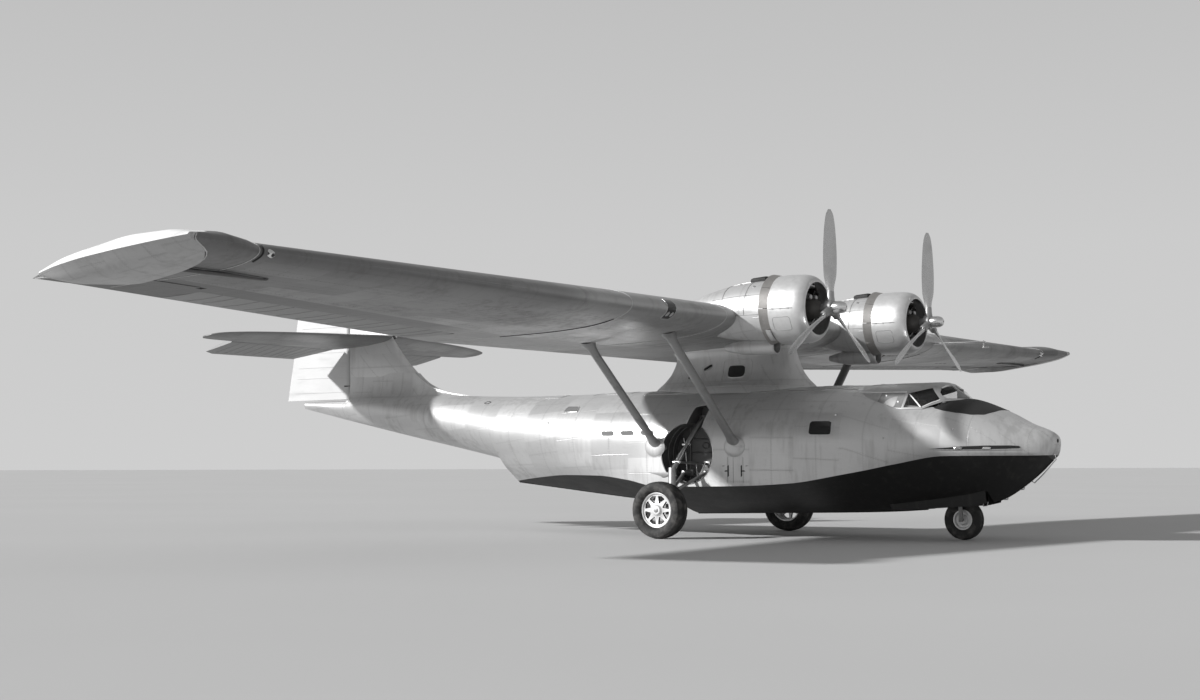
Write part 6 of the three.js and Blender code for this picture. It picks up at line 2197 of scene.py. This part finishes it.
@dataclass
class Wheel:
    """One wheel and its tyre."""

    name: str
    body: str
    centre: tuple[float, float, float]
    radius: float
    width: float
    rim: float
    web: float
    spokes: int
    bore: float
    sign: int = 1

    def build(self) -> None:
        """Tyre with a zigzag tread, and a cast wheel with its hub cap."""
        half, wall = self.width / 2, self.radius - self.rim
        r = self.radius - 0.008
        side = [(0.6, self.rim + 0.0004), (0.74, self.rim + wall * 0.05),
                (0.9, self.rim + wall * 0.2), (0.98, self.rim + wall * 0.38), (1.0, self.rim + wall * 0.52),
                (0.97, self.rim + wall * 0.68), (0.88, self.rim + wall * 0.84), (0.74, r - 0.012),
                (0.56, r - 0.002), (0.3, r)]
        profile = [(half * a, b) for a, b in side] + [(-half * a, b) for a, b in side[::-1]]
        profile.append(profile[0])
        tyre = Draft().lathe(profile, self.centre, (0, 1, 0), 96)
        tyre.fit(f"{self.name}_tyre_rubber", "tyre_rubber", RUBBER, node=self.name.replace("wheel", "tyre"),
                 body=self.body)
        paths, teeth = [], 88
        for row in range(-3, 4):
            t = np.arange(teeth * 2 + 1) * pi / teeth
            y = (row * 0.155 + 0.05 * (-1.0) ** np.arange(len(t))) * half
            at = r - 0.004 * abs(row) ** 1.3 / 1.6
            line = np.stack([at * np.sin(t), y, at * np.cos(t)], 1)
            paths.append((line + self.centre, np.stack([np.sin(t), 0 * t, np.cos(t)], 1), 1.0))
        pitch = 2 * pi * r / teeth / 2 * 1.02
        lugs = Row(Head.BLOCK, pitch, (pitch * 0.8, 0.011, 0.012)).run(f"{self.name}_tread", paths, RUBBER)
        mount(lugs, self.body, "tyre_rubber")
        self.disc(half * 0.62)

    def disc(self, half: float) -> None:
        """Cast wheel: flanged rim, pierced web and hub.

        Args:
            half: Half width of the rim.
        """
        s, rim, web = self.sign, self.rim, self.web
        profile = [
            (-half, rim), (-half * 0.9, rim + 0.012), (half * 0.9, rim + 0.012),
            (half, rim), (half + 0.006, rim - 0.012), (half, rim - 0.026), (web + 0.03, rim - 0.034),
            (web + 0.026, rim - 0.05), (web + 0.03, rim * 0.6), (web + 0.03, 0.12), (web + 0.042, 0.1),
            (web + 0.068, 0.084), (web + 0.07, self.bore + 0.004), (web + 0.066, self.bore),
            (-0.07, self.bore), (-0.07, 0.082), (web - 0.026, 0.096), (web - 0.02, rim * 0.6),
            (web - 0.026, rim - 0.046), (-half, rim - 0.026), (-half, rim)]
        draft = Draft().lathe([(a, min(b, rim)) for a, b in profile], self.centre, (0, s, 0), 96)
        wheel = draft.build(f"{self.name}_casting", CAST, PAINTED_HOLLOW_SHADE)
        x, y, z = self.centre
        holes = Draft()
        for k in range(self.spokes):
            t, spread = 2 * pi * (k + 0.5) / self.spokes, pi / self.spokes * 0.8
            corners = [(0.125, 0.0), (rim - 0.066, -spread), (rim - 0.052, 0.0), (rim - 0.066, spread)]
            outline = [(x + q * cos(t + a), z + q * sin(t + a)) for q, a in corners]
            holes.prism(rounded(outline, 4, 0.16), y + s * (web - 0.06), y + s * (web + 0.06))
        if self.spokes:
            # The holes' walls take the near-black finish: painted shade.
            carve(wheel, holes, PAINTED_HOLLOW_SHADE)
        mount(wheel, self.body, "cast_wheel", self.name)


@dataclass
class Gear:
    """Legs, fork and wheels."""

    def build(self) -> None:
        """Builds the landing gear."""
        for side, sign in SIDES:
            leg = retrace(f"main_leg_{side}", f"gear_leg_{side}", STEEL, 0.005)
            mount(leg, "airframe", "gear_steel", f"main_leg_{side}")
            Wheel(f"main_wheel_{side}", f"main_wheel_{side}", (0.0, sign * 2.53, 0.55), 0.55, 0.4, 0.34,
                  0.072, 8, 0.043, sign).build()
            pipes = Draft()
            for path in (((0.02, 1.5, 1.86), (-0.06, 1.78, 1.62),
                          (-0.05, 2.0, 1.4), (-0.07, 2.08, 1.2), (-0.06, 2.1, 0.9), (-0.03, 2.12, 0.66)),
                         ((0.06, 1.2, 2.16), (0.08, 1.5, 1.9), (0.075, 1.75, 1.67))):
                line = np.stack([np.interp(np.linspace(0, 1, 30), np.linspace(0, 1, len(path)), column)
                                 for column in np.array(path).T], 1)
                pipes.tube([p * [1, sign, 1] for p in line], 0.009, 8, slot=1)
            for at, axis, r in (((0.0, 1.92, 1.47), (1, 0, 0), 0.07), ((0.0, 1.56, 1.82), (1, 0, 0), 0.075),
                                ((0.0, 2.08, 0.98), (1, 0, 0), 0.095)):
                place = np.array(at) * [1, sign, 1]
                pipes.lathe([(-r, 0), (-r, 0.02), (-r - 0.014, 0.02), (-r - 0.014, 0.03), (-r + 0.01, 0.032),
                             (r - 0.01, 0.032), (r + 0.014, 0.03), (r + 0.014, 0.02), (r, 0.02), (r, 0)],
                            place, axis, 16)
            pipes.lathe([(0.0, 0.046), (0.0, 0.053), (0.3, 0.053), (0.3, 0.046)],
                        (0.012, sign * 1.68, 1.698), (0, sign * 0.71, -0.7), 24)
            pipes.fit(f"gear_fittings_{side}", "gear_steel", BRIGHT, MATT_BLACK_AND_PAINTED_SHADE)
        for node, name, body in (("nose_leg", "nose_strut", "airframe"),
                                 ("nose_fork", "nose_fork_arms", "nose_fork")):
            mount(retrace(node, name, STEEL, 0.005), body, "gear_steel", node)
        Wheel("nose_wheel", "nose_wheel", (5.15, 0.0, 0.38), 0.38, 0.23, 0.19, 0.0, 0, 0.027).build()


@dataclass
class Cockpit:
    """Canopy, panes, seats, panel and yoke."""

    sills: Table = Table(
        "x zSill ySill zRail yRail", (3.345, 2.64, 0.96, 2.79, 0.76), (3.9, 2.5, 0.975, 2.775, 0.745),
        (4.34, 2.445, 0.965, 2.775, 0.72), (4.74, 2.44, 0.9, 2.85, 0.64), (4.88, 2.5, 0.83, 2.87, 0.56))
    floor: float = 1.8

    def on_wall(self, side: int, x: float, share: float, out: float) -> np.ndarray:
        """Point on the canopy wall.

        Args:
            side: 1 for port, -1 for starboard.
            x: Station.
            share: Place between the sill at 0 and the rail at 1.
            out: Distance outside the wall.

        Returns:
            The point.
        """
        low, wide, high, narrow = self.sills.pick(x, "zSill ySill zRail yRail")
        rise, lean = high - low, wide - narrow
        size = hypot(rise, lean)
        return np.array([x, side * (wide - lean * share + out * rise / size),
                         low + rise * share + out * lean / size])

    def frames(self) -> None:
        """Canopy shell, panes with their bars, wall plates and roof hatches."""
        shell = retrace("canopy", "canopy_shell", FAIR_SKIN, 0.0, 40)
        # Inward faces of the canopy shell take the near-black finish: painted shade inside the cockpit.
        shell.data.materials.append(PAINTED_HOLLOW_SHADE.material())
        for face in shell.data.polygons:
            reach = face.center - Vector((face.center.x, 0, 2.3))
            face.material_index = int(face.normal.dot(reach) < 0 and abs(face.normal.x) < 0.9)
        mount(shell, "airframe", "silver_skin", "canopy")
        bars, plates = Draft(), Draft()
        for side, sign in SIDES:
            for kind in ("side_window", "windscreen"):
                pane = retrace(f"{kind}_{side}", f"{kind}_pane_{side}", CLEAR)
                for loop in rims_of(pane):
                    bars.tube(loop, 0.013, 6, closed=True)
                mount(pane, "airframe", "window_glass", f"{kind}_{side}")
            wall = partial(self.on_wall, sign)
            bars.tube([(4.4, sign * 0.71, 2.735), (4.715, sign * 0.895, 2.475)], 0.014, 8)
            plates.patch(oblong(3.7, 0.06, 4.34, 0.93), wall, ((1, -0.01), (1, 0.004)), 1)
            plates.patch(oblong(3.4, 0.1, 3.68, 0.95), wall, ((1, -0.01), (1, 0.005)))
            for share in (0.25, 0.45, 0.65, 0.85):
                plates.bead([(3.42, share), (3.66, share)], wall, 0.012)
            bars.bead([(3.4, 0.98), (3.9, 0.98), (4.36, 0.98)], wall, 0.014)
            for x, share in ((3.98, 0.75), (4.25, 0.4)):
                bars.lathe([(-0.01, 0), (-0.01, 0.018), (0.016, 0.016), (0.02, 0)], wall(x, share, 0),
                           (0, sign, 0), 12)
        for x0, x1, wide in ((3.5, 4.1, 0.33), (4.22, 4.68, 0.27)):
            outline = rounded(oblong(x0, -wide, x1, wide), 5, 0.12)
            plates.patch(outline, lambda x, y, out: np.array([x, y, 2.95 + out - abs(y) * 0.11]),
                         ((1, -0.02), (1, 0.006)))
            bars.tube([(x0 + 0.03, y, z) for y, z in ((-0.1, 2.954), (-0.08, 2.962), (0.08, 2.962),
                                                      (0.1, 2.954))], 0.006, 6)
        bars.fit("canopy_bars", "silver_skin", BARS_AND_PAINTED_DUCT_LIGHT)
        plates.fit("canopy_plates", "silver_skin", FAIR_SKIN, DARK_SKIN)

    def seats(self) -> None:
        """Metal bucket seats with leather cushions."""
        for side, sign in SIDES:
            y, f = sign * 0.4, self.floor
            shell = Draft().prism(rounded([(4.12, f + 0.33), (4.56, f + 0.33), (4.56, f + 0.37),
                                           (4.2, f + 0.37), (4.12, f + 0.865), (4.075, f + 0.86)], 4, 0.1),
                                  y - 0.225, y + 0.225)
            shell.lathe([(0.0, 0), (0.0, 0.1), (0.02, 0.1), (0.04, 0.05), (0.3, 0.045), (0.33, 0.09),
                         (0.345, 0)], (4.33, y, f), (0, 0, 1), 24)
            for edge in (-0.215, 0.215):
                shell.tube([(4.16, y + edge, f + 0.5), (4.42, y + edge, f + 0.53),
                            (4.44, y + edge, f + 0.37)], 0.012, 8)
            shell.fit(f"seat_bucket_{side}", "dark_skin", DARK_SKIN)
            seat = Draft().pillow((4.385, y, f + 0.362), (0.165, 0, 0), (0, 0.205, 0), (0, 0, 0.04))
            back = Draft().pillow((4.155, y, f + 0.62), (-0.028, 0, 0.225), (0, 0.2, 0), (0.036, 0, 0.0045))
            for piece, part, node in ((seat, "cushion", f"seat_{side}"), (back, "backrest", "")):
                made = piece.fit(f"seat_{part}_{side}", "seat_leather", HIDE, node=node, sharp=70)

    def controls(self) -> None:
        """Instrument panel with dials, yoke and pitot boom."""
        mount(retrace("instrument_panel", "dial_panel", PANEL, 0.006), "airframe", "dark_skin",
              "instrument_panel")
        mount(retrace("control_yoke", "yoke_tubes", STEEL, 0.003), "airframe", "gear_steel", "control_yoke")
        mount(retrace("pitot_boom", "pitot_tube", BRIGHT, 0.002), "airframe", "gear_steel", "pitot_boom")
        dials = Draft()
        places = [(y, 2.39) for y in np.arange(-0.5, 0.51, 0.125)]
        places += [(y, 2.25) for y in np.arange(-0.44, 0.45, 0.125)]
        for k, (y, z) in enumerate(places):
            at = (4.9302, y, z)
            dials.lathe([(0, 0.042), (0, 0.05), (0.012, 0.05), (0.015, 0.045), (0.006, 0.04), (0, 0.042)],
                        at, (-1, 0, 0), 28)
            dials.lathe([(0, 0), (0, 0.041), (0.004, 0.041), (0.004, 0)], at, (-1, 0, 0), 28, slot=1)
            turn = 0.9 * k
            tip = np.array([4.924, y + 0.031 * sin(turn), z + 0.031 * cos(turn)])
            dials.tube([(4.924, y, z), tip], [0.003, 0.001], 6)
            for mark in np.arange(12) * pi / 6:
                spot = np.array([4.925, y + 0.036 * sin(mark), z + 0.036 * cos(mark)])
                dials.tube([spot, spot - [0, 0.006 * sin(mark), 0.006 * cos(mark)]], 0.0012, 4)
        for y in (-0.06, -0.02, 0.02, 0.06):
            dials.tube([(4.93, y, 2.14), (4.84, y, 2.19)], 0.007, 8)
            dials.lathe([(0, 0), (0.004, 0.018), (0.018, 0.022), (0.032, 0.018), (0.036, 0)],
                        (4.85, y, 2.185), (-0.9, 0, 0.5), 14, slot=1)
        dials.fit("dials_and_levers", "dark_skin", BARS_AND_PAINTED_DUCT_LIGHT, PANEL)

    def build(self) -> None:
        """Builds the cockpit."""
        self.frames()
        self.seats()
        self.controls()


# Studio


@dataclass
class Studio:
    """Floor, lights and camera."""

    eye: tuple[float, float, float] = (21.943, -31.818, 1.392)
    yaw: float = 35.1305
    pitch: float = 3.6647
    roll: float = -0.00203
    lens: float = 54.4437

    def floor(self) -> None:
        """Plain pale floor."""
        bench = Bench("studio_floor")
        cloud = bench.noise(bench.place(), 0.08, 3.0)
        material = bench.finish({}, bench.blend(cloud, grey(0.43), grey(0.48)), 0.85)
        mesh = bpy.data.meshes.new("studio_floor")
        rim = [(900 * cos(t), 900 * sin(t), 0.0) for t in np.arange(64) * pi / 32]
        mesh.from_pydata(rim, [], [tuple(range(64))])
        mesh.materials.append(material)
        shown("studio_floor", mesh)

    def lights(self) -> None:
        """A broad key from behind the camera's left shoulder and an even surround."""
        key = bpy.data.lights.new("key", "SUN")
        key.energy, key.angle = 5.0, radians(2.5)
        made = shown("key", key)
        made.rotation_mode = "QUATERNION"
        made.rotation_quaternion = Vector((1.0, 1.2, -0.75)).to_track_quat("-Z", "Y")
        world = bpy.data.worlds.new("surround")
        world.use_nodes = True
        nodes, links = world.node_tree.nodes, world.node_tree.links
        split, ramp = nodes.new("ShaderNodeSeparateXYZ"), nodes.new("ShaderNodeValToRGB")
        links.new(nodes.new("ShaderNodeTexCoord").outputs["Generated"], split.inputs[0])
        links.new(split.outputs[2], ramp.inputs[0])
        for _ in range(2):
            ramp.color_ramp.elements.new(0.5)
        for stop, (place, tone) in zip(ramp.color_ramp.elements,
                                       ((0.0, 0.62), (0.12, 0.6), (0.45, 0.42), (1.0, 0.3))):
            stop.position, stop.color = place, grey(tone)
        links.new(ramp.outputs[0], nodes["Background"].inputs["Color"])
        bpy.context.scene.world = world
        bpy.context.scene.view_settings.view_transform = "Standard"

    def camera(self) -> None:
        """Camera at the photograph's viewing angle."""
        data = bpy.data.cameras.new("camera")
        data.lens, data.sensor_width, data.sensor_fit = self.lens, 36.0, "HORIZONTAL"
        data.clip_start, data.clip_end = 0.5, 3000.0
        made = shown("camera", data)
        yaw, pitch = radians(self.yaw), radians(self.pitch)
        ahead = Vector((-sin(yaw) * cos(pitch), cos(yaw) * cos(pitch), sin(pitch)))
        right = Vector((cos(yaw), sin(yaw), 0.0))
        up = right.cross(ahead)
        c, s = cos(self.roll), sin(self.roll)
        across, above = c * right + s * up, c * up - s * right
        turn = Matrix((across, above, -ahead)).transposed()
        made.matrix_world = Matrix.Translation(self.eye) @ turn.to_4x4()
        bpy.context.scene.camera = made

    def build(self) -> None:
        """Builds the studio."""
        self.camera()
        self.floor()
        self.lights()


def main() -> None:
    """Builds the classes in order."""
    logging.basicConfig(level=logging.INFO, format="%(message)s")
    groups: list[Any] = [Studio(), Hull(), Cockpit(), Wing(), Tail()]
    groups += [Engine(side, sign) for side, sign in SIDES]
    groups.append(Gear())
    for group in groups:
        group.build()


if __name__ == "__main__":
    main()
